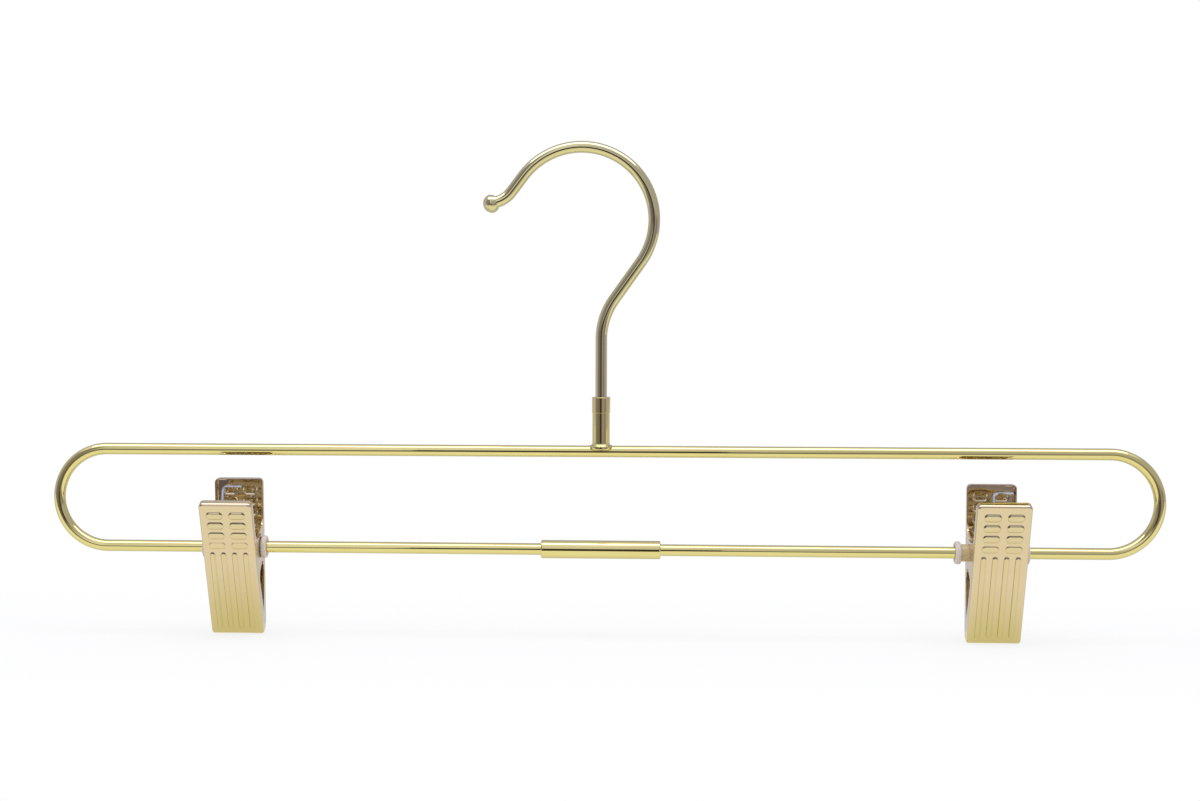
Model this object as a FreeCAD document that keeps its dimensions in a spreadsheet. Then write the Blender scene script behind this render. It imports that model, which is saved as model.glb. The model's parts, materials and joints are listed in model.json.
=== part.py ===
import FreeCAD, Part
import math
import os

import Sketcher
from FreeCAD import Placement, Rotation, Vector

# Skirt hanger of bent and plated steel wire: a long wire loop with a swivelling hook on its upper bar
# and two sprung sheet-metal clips that slide and swing on its lower bar.
# +Z is up, +X runs along the bars and -Y faces the viewer. The origin is where the hook's swivel axis
# meets the inside of the crook, which is where the rod bears. Lengths in millimetres, angles in degrees.

SIZES = {
    # wire loop and the sleeve over its two ends
    "wire_dia": 4.2,
    "frame_width": 400.0,
    "bar_spacing": 35.6,
    "wire_end_gap": 0.6,
    "sleeve_length": 43.0,
    "sleeve_wall": 1.15,
    "sleeve_fit": 0.05,
    "sleeve_edge": 0.5,
    # hook
    "hook_height": 82.8,
    "crook_radius": 26.0,
    "crook_offset": 7.3,
    "shank_lean": 35.4,
    "shank_bend_radius": 25.0,
    "tip_slope": 53.0,
    "tip_run": 6.9,
    "tip_bend_radius": 10.0,
    "tip_dip": 19.0,
    "tip_end_run": 0.7,
    "ball_dia": 6.7,
    "ball_length": 4.9,
    "ball_rim_dia": 5.2,
    "head_overhang": 0.3,
    "head_length": 1.5,
    # ferrule
    "ferrule_top": 19.6,
    "ferrule_wall": 0.5,
    "neck_length": 5.6,
    "neck_step": 0.15,
    "neck_fit": 0.08,
    "neck_edge": 0.5,
    "head_clearance": 0.23,
    "head_end_play": 0.15,
    "collar_foot": 0.8,
    "collar_thickness": 1.4,
    "collar_overhang": 1.1,
    "collar_flare": 0.9,
    "saddle_fit": 0.02,
    # where the clips hang on the lower bar, in from the loop's ends
    "left_clip_inset": 66.9,
    "right_clip_inset": 59.4,
    "left_clip_swing": 12.8,
    "right_clip_swing": 8.8,
    # flanged bushes
    "bush_fit": 0.06,
    "bush_wall": 0.94,
    "bush_end_gap": 1.4,
    "bush_flange_overhang": 1.0,
    "bush_flange_thickness": 2.0,
    "bush_flange_edge": 0.6,
    "bush_seat_gap": 0.15,
    "loose_bush_shift": 2.7,
    # stamped jaws
    "sheet": 0.6,
    "jaw_width": 19.1,
    "ear_side_gap": 0.1,
    "ear_fit": 0.06,
    "ear_rim": 1.75,
    "ear_root": 10.0,
    "ear_root_radius": 4.0,
    "plate_offset": 10.7,
    "plate_tilt": 10.3,
    "handle_rise": 23.9,
    "jaw_drop": 31.6,
    "flange_depth": 3.0,
    "grip_height": 1.2,
    "grip_gap": 0.2,
    "bend_radius": 1.1,
    "toe_radius": 2.2,
    "corner_radius": 1.7,
    # grip ribs and flutes pressed out of the plates
    "emboss_rise": 0.45,
    "emboss_draft": 40.0,
    "emboss_inset": 0.28,
    "rib_height": 3.0,
    "rib_side_margin": 2.3,
    "rib_column_gap": 1.7,
    "rib_first": 4.7,
    "rib_pitch": 4.1,
    "flute_width": 2.4,
    "flute_side_margin": 3.55,
    "flute_top": 19.8,
    "flute_foot": 2.9,
    # torsion springs
    "spring_wire": 1.2,
    "spring_coil_gap": 0.2,
    "spring_pitch": 1.72,
    "spring_foot_length": 7.1,
    "spring_foot_drop": 3.3,
    "spring_bend_radius": 1.8,
    "spring_plate_gap": 0.12,
    "left_spring_side_gap": 1.35,
    "right_spring_side_gap": 0.35,
}
RIB_ROWS = 4
RIB_COLUMNS = 2
FLUTES = 4
SPRING_FULL_TURNS = 3
SAMPLES_PER_WIRE = 4
NEIGHBOUR_PITCHES = 3

doc = FreeCAD.newDocument("skirt_hanger")
sheet = doc.addObject("Spreadsheet::Sheet", "sizes")
for row, (alias, value) in enumerate(SIZES.items(), start=1):
    sheet.set(f"A{row}", alias)
    sheet.set(f"B{row}", str(value))
    sheet.setAlias(f"B{row}", alias)
doc.recompute()

ORIGIN, ACROSS = (-1, 1), -1
UPRIGHT = ACROSS - 1
TOUCH = 1e-6
PARTS = []


def size(alias):
    """A driving dimension, read from the sheet."""
    return float(sheet.get(alias))


def new_body(label):
    """An empty body that is written out under its label."""
    body = doc.addObject("PartDesign::Body", label)
    body.Label = label
    PARTS.append(body)
    return body


def origin_feature(body, role):
    return next(f for f in body.Origin.OriginFeatures if f.Role == role)


def new_sketch(body, name, role, offset=None):
    """A sketch on one of the body's own origin planes, moved along the plane's normal by an expression."""
    sketch = body.newObject("Sketcher::SketchObject", f"{body.Label}_{name}")
    sketch.AttachmentSupport = [(origin_feature(body, role), "")]
    sketch.MapMode = "FlatFace"
    if offset:
        sketch.setExpression("AttachmentOffset.Base.z", offset)
    return sketch


def bind(sketch, name, expression, constraint):
    """Add a dimension and drive it from the sheet."""
    sketch.renameConstraint(sketch.addConstraint(Sketcher.Constraint(*constraint)), name)
    sketch.setExpression(f"Constraints.{name}", expression)


def hold(sketch, *constraints):
    """Add constraints that have no size."""
    for constraint in constraints:
        sketch.addConstraint(Sketcher.Constraint(*constraint))


def line(x0, y0, x1, y1):
    return Part.LineSegment(Vector(x0, y0, 0), Vector(x1, y1, 0))


def arc(x, y, radius, start, end):
    """A counter-clockwise arc between two angles in degrees."""
    circle = Part.Circle(Vector(x, y, 0), Vector(0, 0, 1), radius)
    return Part.ArcOfCircle(circle, math.radians(start), math.radians(end))


def circle_sketch(body, name, role, radius, offset=None):
    """A sketch of one circle about the origin, its radius driven by an expression."""
    sketch = new_sketch(body, name, role, offset)
    sketch.addGeometry(Part.Circle(Vector(), Vector(0, 0, 1), size("wire_dia")))
    hold(sketch, ("Coincident", 0, 3, *ORIGIN))
    bind(sketch, "radius", radius, ("Radius", 0, size("wire_dia")))
    return sketch


def slot_sketch(body, name, offset, length, width, upright, across, down):
    """A round-ended slot on the plate, measured across from its middle and down from its top edge."""
    sketch = new_sketch(body, name, "XZ_Plane", offset)
    sketch.setExpression("AttachmentOffset.Base.y", "sizes.handle_rise")
    half, radius = size("rib_height"), size("sheet")
    turn = 90 if upright else 0
    along = Rotation(Vector(0, 0, 1), turn).multVec(Vector(half, 0, 0))
    aside = Rotation(Vector(0, 0, 1), turn).multVec(Vector(0, radius, 0))
    middle = Vector(-half, -half, 0) * 2
    near, far = middle - along, middle + along
    sketch.addGeometry(Part.LineSegment(near - aside, far - aside))
    sketch.addGeometry(arc(far.x, far.y, radius, turn - 90, turn + 90))
    sketch.addGeometry(Part.LineSegment(far + aside, near + aside))
    sketch.addGeometry(arc(near.x, near.y, radius, turn + 90, turn + 270))
    sketch.addGeometry(Part.LineSegment(near, far), True)
    hold(sketch, ("Tangent", 0, 2, 1, 1), ("Tangent", 1, 2, 2, 1), ("Tangent", 2, 2, 3, 1))
    hold(sketch, ("Tangent", 3, 2, 0, 1), ("Equal", 1, 3))
    hold(sketch, ("Coincident", 4, 1, 3, 3), ("Coincident", 4, 2, 1, 3))
    hold(sketch, ("Vertical" if upright else "Horizontal", 4))
    bind(sketch, "end_radius", f"({width}) / 2", ("Radius", 1, radius))
    bind(sketch, "span", f"({length}) - ({width})", ("Distance", 4, half + half))
    bind(sketch, "across", across, ("DistanceX", 4, 1, *ORIGIN, -near.x))
    bind(sketch, "down", down, ("DistanceY", 4, 2, *ORIGIN, -far.y))
    return sketch


def feature(body, kind, name, **settings):
    """A feature of a body; settings given as text drive that property from the sheet."""
    made = body.newObject(f"PartDesign::{kind}", f"{body.Label}_{name}")
    for key, value in settings.items():
        if isinstance(value, str) and key not in ("Type", "SideType"):
            made.setExpression(key, value)
        else:
            setattr(made, key, value)
    return made


def flat_on(edge, axis, place):
    """Whether an edge lies in the plane where one coordinate has a given value."""
    box = edge.BoundBox
    ends = {"x": (box.XMin, box.XMax), "y": (box.YMin, box.YMax), "z": (box.ZMin, box.ZMax)}[axis]
    return all(abs(end - place) < TOUCH for end in ends)


def round_edges(body, name, radius, test):
    """Round every edge of the body that passes a test."""
    doc.recompute()
    base = body.Tip
    names = [f"Edge{i}" for i, edge in enumerate(base.Shape.Edges, start=1) if test(edge)]
    feature(body, "Fillet", name, Base=(base, names), Radius=radius)


# heights of the crook and of the two bars
crook_inner_radius = size("crook_radius") - size("wire_dia") / 2
crook_z = -math.sqrt(crook_inner_radius**2 - size("crook_offset") ** 2)
upper_bar_z = crook_z - size("hook_height")
lower_bar_z = upper_bar_z - size("bar_spacing")

WIRE_RADIUS = "sizes.wire_dia / 2"
END_RADIUS = "sizes.bar_spacing / 2"
HALF_BAR = f"sizes.frame_width / 2 - {WIRE_RADIUS} - {END_RADIUS}"


def build_frame_wire():
    """One length of wire bent into a long loop, its ends facing each other in the lower bar."""
    body = new_body("frame_wire")
    reach = size("frame_width") / 2 - size("bar_spacing")
    bend = size("bar_spacing") / 2
    end = size("wire_end_gap") / 2
    path = new_sketch(body, "path", "XZ_Plane")
    path.addGeometry(line(end, 0, reach, 0))
    path.addGeometry(arc(reach, bend, bend, -90, 90))
    path.addGeometry(line(reach, 2 * bend, -reach, 2 * bend))
    path.addGeometry(arc(-reach, bend, bend, 90, 270))
    path.addGeometry(line(-reach, 0, -end, 0))
    hold(path, ("Tangent", 0, 2, 1, 1), ("Tangent", 1, 2, 2, 1), ("Tangent", 2, 2, 3, 1))
    hold(path, ("Tangent", 3, 2, 4, 1), ("Horizontal", 0), ("Horizontal", 2), ("Horizontal", 4))
    hold(path, ("PointOnObject", 0, 1, ACROSS), ("PointOnObject", 4, 2, ACROSS))
    bind(path, "right_end", "sizes.wire_end_gap / 2", ("DistanceX", *ORIGIN, 0, 1, end))
    bind(path, "left_end", "sizes.wire_end_gap / 2", ("DistanceX", 4, 2, *ORIGIN, end))
    bind(path, "bend", END_RADIUS, ("Radius", 1, bend))
    bind(path, "right_bar", HALF_BAR, ("DistanceX", *ORIGIN, 1, 3, reach))
    bind(path, "left_bar", HALF_BAR, ("DistanceX", 3, 3, *ORIGIN, reach))
    section = circle_sketch(body, "section", "YZ_Plane", WIRE_RADIUS, "sizes.wire_end_gap / 2")
    feature(body, "AdditivePipe", "loop", Profile=section, Spine=path)
    body.Placement.Base = Vector(0, 0, lower_bar_z)


def build_sleeve():
    """Plain tube slid over the wire's two ends."""
    body = new_body("frame_joint_sleeve")
    bore = f"{WIRE_RADIUS} + sizes.sleeve_fit"
    outside = circle_sketch(body, "outside", "YZ_Plane", f"{bore} + sizes.sleeve_wall")
    feature(body, "Pad", "tube", Profile=outside, SideType="Symmetric", Length="sizes.sleeve_length")
    half = size("sleeve_length") / 2
    round_edges(
        body, "rims", "sizes.sleeve_edge", lambda e: flat_on(e, "x", half) or flat_on(e, "x", -half)
    )
    inside = circle_sketch(body, "inside", "YZ_Plane", bore)
    feature(body, "Pocket", "bore", Profile=inside, SideType="Symmetric", Type="ThroughAll")
    body.Placement.Base = Vector(0, 0, lower_bar_z)


CHAMBER_RADIUS = f"{WIRE_RADIUS} + sizes.head_overhang + sizes.head_clearance"
BARREL_RADIUS = f"{CHAMBER_RADIUS} + sizes.ferrule_wall"
NECK_FOOT = "sizes.ferrule_top - sizes.neck_length"


def build_ferrule():
    """Stepped tube with a flared foot astride the upper bar; its neck holds the hook's head in."""
    body = new_body("hook_ferrule")

    def ring(name, radius, foot):
        return circle_sketch(body, name, "XY_Plane", radius, foot)

    foot = ring("foot", f"{BARREL_RADIUS} + sizes.collar_overhang", "sizes.collar_foot")
    feature(body, "Pad", "collar", Profile=foot, Length="sizes.collar_thickness")
    barrel = ring("barrel_round", BARREL_RADIUS, "sizes.collar_foot")
    feature(body, "Pad", "barrel", Profile=barrel, Length=f"{NECK_FOOT} - sizes.collar_foot")
    neck = ring("neck_round", f"{BARREL_RADIUS} + sizes.neck_step", NECK_FOOT)
    feature(body, "Pad", "neck", Profile=neck, Length="sizes.neck_length")
    shoulder = size("collar_foot") + size("collar_thickness")
    chamber_radius = size("wire_dia") / 2 + size("head_overhang") + size("head_clearance")
    rim = chamber_radius + size("ferrule_wall")
    round_edges(
        body,
        "flare",
        "sizes.collar_flare",
        lambda e: flat_on(e, "z", shoulder) and abs(e.BoundBox.XMax - rim) < TOUCH,
    )
    round_edges(body, "lip", "sizes.neck_edge", lambda e: flat_on(e, "z", size("ferrule_top")))
    chamber = ring("chamber_round", CHAMBER_RADIUS, NECK_FOOT)
    feature(body, "Pocket", "chamber", Profile=chamber, Type="ThroughAll")
    throat = ring("throat_round", f"{WIRE_RADIUS} + sizes.neck_fit", "sizes.ferrule_top")
    feature(body, "Pocket", "throat", Profile=throat, Type="ThroughAll")
    bar = circle_sketch(body, "bar_round", "YZ_Plane", f"{WIRE_RADIUS} + sizes.saddle_fit")
    feature(body, "Pocket", "saddle", Profile=bar, SideType="Symmetric", Type="ThroughAll")
    body.Placement.Base = Vector(0, 0, upper_bar_z)


def build_hook():
    """Wire hook: straight shank, a lean to one side, the round crook and an outturned tip with a ball."""
    body = new_body("hook_wire")
    foot = f"sizes.hook_height - ({NECK_FOOT}) + sizes.head_end_play + sizes.head_length"
    crook, bend, turn = size("crook_radius"), size("shank_bend_radius"), size("tip_bend_radius")
    lean, slope, dip = size("shank_lean"), size("tip_slope"), size("tip_dip")
    run, end_run = size("tip_run"), size("tip_end_run")
    centre = Vector(-size("crook_offset"), 0, 0)

    def direction(angle):
        return Rotation(Vector(0, 0, 1), angle).multVec(Vector(1, 0, 0))

    shank_top = centre + direction(-lean) * crook
    shank_low = shank_top - direction(90 - lean) * crook
    bend_low = shank_low - Vector(0, bend / 2, 0)
    tip_high = centre + direction(180 - (90 - slope)) * crook
    tip_low = tip_high + direction(180 + slope) * run
    tip_centre = tip_low + direction(90 + slope) * turn
    ball_seat = tip_centre + direction(270 + dip) * turn
    path = new_sketch(body, "path", "XZ_Plane")
    path.addGeometry(line(0, -size("hook_height"), 0, bend_low.y))
    path.addGeometry(arc(bend, bend_low.y, bend, 180 - lean, 180))
    path.addGeometry(Part.LineSegment(shank_low, shank_top))
    path.addGeometry(arc(centre.x, centre.y, crook, -lean, 90 + slope))
    path.addGeometry(Part.LineSegment(tip_high, tip_low))
    path.addGeometry(arc(tip_centre.x, tip_centre.y, turn, 270 + dip, 270 + slope))
    path.addGeometry(Part.LineSegment(ball_seat, ball_seat + direction(180 + dip) * end_run))
    hold(path, ("PointOnObject", 0, 1, UPRIGHT), ("Vertical", 0), ("Tangent", 0, 2, 1, 2))
    hold(path, ("Tangent", 1, 1, 2, 1), ("Tangent", 2, 2, 3, 1), ("Tangent", 3, 2, 4, 1))
    hold(path, ("Tangent", 4, 2, 5, 2), ("Tangent", 5, 1, 6, 1), ("PointOnObject", 3, 3, ACROSS))
    bind(path, "foot", foot, ("DistanceY", 0, 1, *ORIGIN, size("hook_height")))
    bind(path, "shank_bend", "sizes.shank_bend_radius", ("Radius", 1, bend))
    bind(path, "lean", "(90 - sizes.shank_lean) * 1 deg", ("Angle", 2, math.radians(90 - lean)))
    bind(path, "crook", "sizes.crook_radius", ("Radius", 3, crook))
    bind(path, "offset", "sizes.crook_offset", ("DistanceX", 3, 3, *ORIGIN, size("crook_offset")))
    bind(path, "slope", "(sizes.tip_slope - 180) * 1 deg", ("Angle", 4, math.radians(slope - 180)))
    bind(path, "tip_run", "sizes.tip_run", ("Distance", 4, run))
    bind(path, "tip_bend", "sizes.tip_bend_radius", ("Radius", 5, turn))
    bind(path, "dip", "(sizes.tip_dip - 180) * 1 deg", ("Angle", 6, math.radians(dip - 180)))
    bind(path, "end_run", "sizes.tip_end_run", ("Distance", 6, end_run))
    section = circle_sketch(body, "section", "XY_Plane", WIRE_RADIUS, f"-({foot})")
    feature(body, "AdditivePipe", "bent_wire", Profile=section, Spine=path)
    head_radius = f"{WIRE_RADIUS} + sizes.head_overhang"
    head = circle_sketch(body, "head_round", "XY_Plane", head_radius, f"-({foot})")
    feature(body, "Pad", "head", Profile=head, Length="sizes.head_length")
    doc.recompute()

    tip = path.getPoint(6, 2)
    ball = new_sketch(body, "ball_half", "XZ_Plane")
    ball.AttachmentOffset = Placement(tip, Rotation(Vector(0, 0, 1), 180 + dip))
    rim, length, radius = size("ball_rim_dia") / 2, size("ball_length"), size("ball_dia") / 2
    belly = length - radius
    ball.addGeometry(line(0, 0, 0, rim))
    ball.addGeometry(line(0, rim, belly, radius))
    ball.addGeometry(arc(belly, 0, radius, 0, 90))
    ball.addGeometry(line(length, 0, 0, 0))
    hold(ball, ("Coincident", 0, 1, *ORIGIN), ("Vertical", 0), ("Coincident", 0, 2, 1, 1))
    hold(ball, ("Coincident", 1, 2, 2, 2), ("Coincident", 2, 1, 3, 1), ("Coincident", 3, 2, 0, 1))
    hold(ball, ("Horizontal", 3), ("PointOnObject", 2, 3, ACROSS), ("Vertical", 2, 3, 2, 2))
    bind(ball, "rim", "sizes.ball_rim_dia / 2", ("DistanceY", 0, 1, 0, 2, rim))
    bind(ball, "radius", "sizes.ball_dia / 2", ("Radius", 2, radius))
    bind(ball, "length", "sizes.ball_length", ("DistanceX", *ORIGIN, 2, 1, length))
    feature(body, "Revolution", "ball", Profile=ball, ReferenceAxis=(ball, ["H_Axis"]), Angle=360)
    body.Placement.Base = Vector(0, 0, crook_z)


BUSH_BORE = f"{WIRE_RADIUS} + sizes.bush_fit"
BUSH_BARREL = f"{BUSH_BORE} + sizes.bush_wall"
BUSH_LENGTH = "sizes.jaw_width / 2 + sizes.bush_seat_gap - sizes.bush_end_gap / 2"


def build_bush(label, clip_x, outward, stand_out):
    """Flanged plastic bush on the lower bar; its barrel goes through the ears and into the spring."""
    body = new_body(label)
    rim = circle_sketch(body, "rim", "YZ_Plane", f"{BUSH_BARREL} + sizes.bush_flange_overhang")
    feature(body, "Pad", "flange", Profile=rim, Length="sizes.bush_flange_thickness")
    round_edges(body, "soft_rim", "sizes.bush_flange_edge", lambda e: True)
    outside = circle_sketch(body, "outside", "YZ_Plane", BUSH_BARREL)
    feature(body, "Pad", "barrel", Profile=outside, Reversed=True, Length=BUSH_LENGTH)
    inside = circle_sketch(body, "inside", "YZ_Plane", BUSH_BORE)
    feature(body, "Pocket", "bore", Profile=inside, SideType="Symmetric", Type="ThroughAll")
    seat = size("jaw_width") / 2 + size("bush_seat_gap") + stand_out
    turn = Rotation(Vector(0, 0, 1), 0 if outward > 0 else 180)
    body.Placement = Placement(Vector(clip_x + outward * seat, 0, lower_bar_z), turn)


EAR_HOLE = f"{BUSH_BARREL} + sizes.ear_fit"
FRONT_WIDTH = "sizes.jaw_width"
BACK_WIDTH = "sizes.jaw_width - 2 * (sizes.sheet + sizes.ear_side_gap)"


def side_profile(body):
    """The jaw seen along the pivot: face, lips, the flange's edge and the round ear about the pivot."""
    sketch = new_sketch(body, "side", "YZ_Plane")
    face, top, bottom = -size("plate_offset"), size("handle_rise"), -size("jaw_drop")
    edge, root = face + size("flange_depth"), size("ear_root")
    ear, sweep = size("ear_rim") + size("wire_dia"), size("ear_root_radius")
    tilt = math.radians(size("plate_tilt"))
    grip_top = bottom + size("grip_height")
    inward = edge + sweep
    sketch.addGeometry(line(face, bottom, face, top))
    sketch.addGeometry(line(face, top, edge, top))
    sketch.addGeometry(line(edge, top, edge, root))
    sketch.addGeometry(line(inward, root - sweep, 0, ear))
    sketch.addGeometry(arc(0, 0, ear, -90, 90))
    sketch.addGeometry(line(0, -ear, inward, sweep - root))
    sketch.addGeometry(line(edge, -root, grip_top * math.tan(tilt), grip_top))
    sketch.addGeometry(line(grip_top * math.tan(tilt), grip_top, bottom * math.tan(tilt), bottom))
    sketch.addGeometry(line(bottom * math.tan(tilt), bottom, face, bottom))
    sketch.addGeometry(arc(inward, root, sweep, 180, 270))
    sketch.addGeometry(arc(inward, -root, sweep, 90, 180))
    for first, second in ((0, 1), (1, 2), (6, 7), (7, 8), (8, 0)):
        hold(sketch, ("Coincident", first, 2, second, 1))
    hold(sketch, ("Tangent", 2, 2, 9, 1), ("Tangent", 9, 2, 3, 1), ("Tangent", 3, 2, 4, 2))
    hold(sketch, ("Tangent", 4, 1, 5, 1), ("Tangent", 5, 2, 10, 1), ("Tangent", 10, 2, 6, 1))
    hold(sketch, ("Coincident", 4, 3, *ORIGIN))
    hold(sketch, ("Vertical", 0), ("Horizontal", 1), ("Vertical", 2), ("Horizontal", 8))
    bind(sketch, "face", "sizes.plate_offset", ("DistanceX", 0, 1, *ORIGIN, -face))
    bind(sketch, "bottom", "sizes.jaw_drop", ("DistanceY", 0, 1, *ORIGIN, -bottom))
    bind(sketch, "top", "sizes.handle_rise", ("DistanceY", *ORIGIN, 0, 2, top))
    bind(sketch, "lip", "sizes.flange_depth", ("DistanceX", 1, 1, 1, 2, edge - face))
    bind(sketch, "ear", f"{EAR_HOLE} + sizes.ear_rim", ("Radius", 4, ear))
    bind(sketch, "upper_root", "sizes.ear_root", ("DistanceY", *ORIGIN, 2, 2, root))
    bind(sketch, "lower_root", "sizes.ear_root", ("DistanceY", 6, 1, *ORIGIN, root))
    bind(sketch, "flange", "sizes.plate_offset - sizes.flange_depth", ("DistanceX", 6, 1, *ORIGIN, -edge))
    bind(sketch, "upper_sweep", "sizes.ear_root_radius", ("Radius", 9, sweep))
    bind(sketch, "lower_sweep", "sizes.ear_root_radius", ("Radius", 10, sweep))
    lean = "tan(sizes.plate_tilt * 1 deg)"
    half_gap = "sizes.grip_gap / 2 / cos(sizes.plate_tilt * 1 deg)"
    upper_grip = f"(sizes.jaw_drop - sizes.grip_height) * {lean} + {half_gap}"
    lower_grip = f"sizes.jaw_drop * {lean} + {half_gap}"
    bind(sketch, "grip_top", "sizes.jaw_drop - sizes.grip_height", ("DistanceY", 6, 2, *ORIGIN, -grip_top))
    bind(sketch, "upper_grip", upper_grip, ("DistanceX", 6, 2, *ORIGIN, -grip_top * math.tan(tilt)))
    bind(sketch, "lower_grip", lower_grip, ("DistanceX", 7, 2, *ORIGIN, -bottom * math.tan(tilt)))
    return sketch


def inner_sketch(body, width):
    """The rectangle that is hollowed out between the flanges and lips."""
    sketch = new_sketch(body, "inner", "XZ_Plane", "sizes.plate_offset - sizes.sheet")
    side, top, bottom = size("jaw_width") / 4, size("handle_rise") / 2, -size("jaw_drop") / 2
    sketch.addGeometry(line(-side, bottom, side, bottom))
    sketch.addGeometry(line(side, bottom, side, top))
    sketch.addGeometry(line(side, top, -side, top))
    sketch.addGeometry(line(-side, top, -side, bottom))
    for first in range(4):
        hold(sketch, ("Coincident", first, 2, (first + 1) % 4, 1))
    hold(sketch, ("Horizontal", 0), ("Vertical", 1), ("Horizontal", 2), ("Vertical", 3))
    half = f"({width}) / 2 - sizes.sheet"
    bind(sketch, "right", half, ("DistanceX", *ORIGIN, 0, 2, side))
    bind(sketch, "left", half, ("DistanceX", 0, 1, *ORIGIN, side))
    bind(sketch, "top", "sizes.handle_rise - sizes.sheet", ("DistanceY", *ORIGIN, 1, 2, top))
    bind(sketch, "bottom", "sizes.jaw_drop - sizes.sheet", ("DistanceY", 0, 1, *ORIGIN, -bottom))
    return sketch


def press_out(body, name, length, width, upright, across, down):
    """One raised slot on the plate's outside, and the hollow that it leaves on the inside."""
    place = (upright, across, down)
    shape = {"Length": "sizes.emboss_rise", "TaperAngle": "-sizes.emboss_draft"}
    outside = slot_sketch(body, f"{name}_outside", "sizes.plate_offset", length, width, *place)
    rise = feature(body, "Pad", f"{name}_rise", Profile=outside, **shape)
    inner_length, inner_width = (f"{outer} - 2 * sizes.emboss_inset" for outer in (length, width))
    back = "sizes.plate_offset - sizes.sheet"
    inside = slot_sketch(body, f"{name}_inside", back, inner_length, inner_width, *place)
    hollow = feature(body, "Pocket", f"{name}_hollow", Profile=inside, Reversed=True, **shape)
    return [rise, hollow]


def round_bends(body, name, half, wall):
    """Round one side of the sheet: the handle's corners and the toe first, then the bends between them."""
    face, side = wall - size("plate_offset"), half - wall
    top, bottom = size("handle_rise") - wall, wall - size("jaw_drop")
    reach = face + size("toe_radius") + TOUCH
    less = " - sizes.sheet" if wall else ""

    def at_side(edge):
        return flat_on(edge, "x", side) or flat_on(edge, "x", -side)

    def at_corner(edge):
        return at_side(edge) and flat_on(edge, "z", top)

    def at_toe(edge):
        return flat_on(edge, "y", face) and flat_on(edge, "z", bottom)

    def at_bend(edge):
        at_brow = flat_on(edge, "y", face) and flat_on(edge, "z", top)
        return at_brow or at_side(edge) and (flat_on(edge, "z", bottom) or edge.BoundBox.YMax < reach)

    round_edges(body, f"{name}_corners", f"sizes.corner_radius{less}", at_corner)
    round_edges(body, f"{name}_toe", f"sizes.toe_radius{less}", at_toe)
    round_edges(body, f"{name}_bends", f"sizes.bend_radius{less}", at_bend)


def build_jaw(label, width, clip_x, swing, faces_back):
    """Stamped tray: a plate with lips top and bottom, side flanges with ears, ribs and flutes."""
    body = new_body(label)
    feature(body, "Pad", "blank", Profile=side_profile(body), SideType="Symmetric", Length=width)
    doc.recompute()
    half = body.Shape.BoundBox.XMax
    feature(body, "Pocket", "hollow", Profile=inner_sketch(body, width), Type="ThroughAll")
    round_bends(body, "inner", half, size("sheet"))
    round_bends(body, "outer", half, 0)
    hole = circle_sketch(body, "ear_hole", "YZ_Plane", EAR_HOLE)
    feature(body, "Pocket", "ear_holes", Profile=hole, SideType="Symmetric", Type="ThroughAll")
    rib = f"(({width}) - 2 * sizes.rib_side_margin - sizes.rib_column_gap) / 2"
    ribs = press_out(
        body,
        "rib",
        rib,
        "sizes.rib_height",
        False,
        f"sizes.rib_column_gap / 2 + {rib} - sizes.rib_height / 2",
        "sizes.rib_first",
    )
    across, up = (origin_feature(body, role) for role in ("X_Axis", "Z_Axis"))
    rows = feature(body, "LinearPattern", "rib_rows", Originals=ribs, Direction=(up, [""]), Reversed=True)
    rows.setExpression("Length", f"sizes.rib_pitch * {RIB_ROWS - 1}")
    rows.Occurrences = RIB_ROWS
    rows.Direction2 = (across, [""])
    rows.setExpression("Length2", f"{rib} + sizes.rib_column_gap")
    rows.Occurrences2 = RIB_COLUMNS
    body.Tip = rows
    flute = "sizes.handle_rise + sizes.jaw_drop - sizes.flute_top - sizes.flute_foot"
    flutes = press_out(
        body,
        "flute",
        flute,
        "sizes.flute_width",
        True,
        f"({width}) / 2 - sizes.flute_side_margin",
        "sizes.flute_top + sizes.flute_width / 2",
    )
    row = feature(body, "LinearPattern", "flute_row", Originals=flutes, Direction=(across, [""]))
    row.setExpression("Length", f"{width} - 2 * sizes.flute_side_margin")
    row.Occurrences = FLUTES
    body.Tip = row
    lean = size("plate_tilt")
    turn = Rotation(Vector(1, 0, 0), swing + (-lean if faces_back else lean))
    if faces_back:
        turn = turn * Rotation(Vector(0, 0, 1), 180)
    body.Placement = Placement(Vector(clip_x, 0, lower_bar_z), turn)


def arc_between(start, corner, end):
    """The arc from start to end whose tangents meet at the corner, which is as far from both."""
    middle = (start + end) / 2
    half_chord = (end - start).Length / 2
    rise = corner - middle
    half_angle = math.atan2(rise.Length, half_chord)
    crown = middle + rise.normalize() * (half_chord * math.tan(half_angle / 2))
    return Part.Arc(start, crown, end).toShape()


def biarc(start, start_way, end, end_way):
    """Two arcs that leave start and reach end along the given directions and meet smoothly."""
    chord = end - start
    ways = start_way + end_way
    spread = 2 * (1 - start_way.dot(end_way))
    pull = chord.dot(ways)
    reach = (math.sqrt(pull**2 + spread * chord.dot(chord)) - pull) / spread
    first_corner = start + start_way * reach
    second_corner = end - end_way * reach
    joint = (first_corner + second_corner) / 2
    return [arc_between(start, first_corner, joint), arc_between(joint, second_corner, end)]


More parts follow.
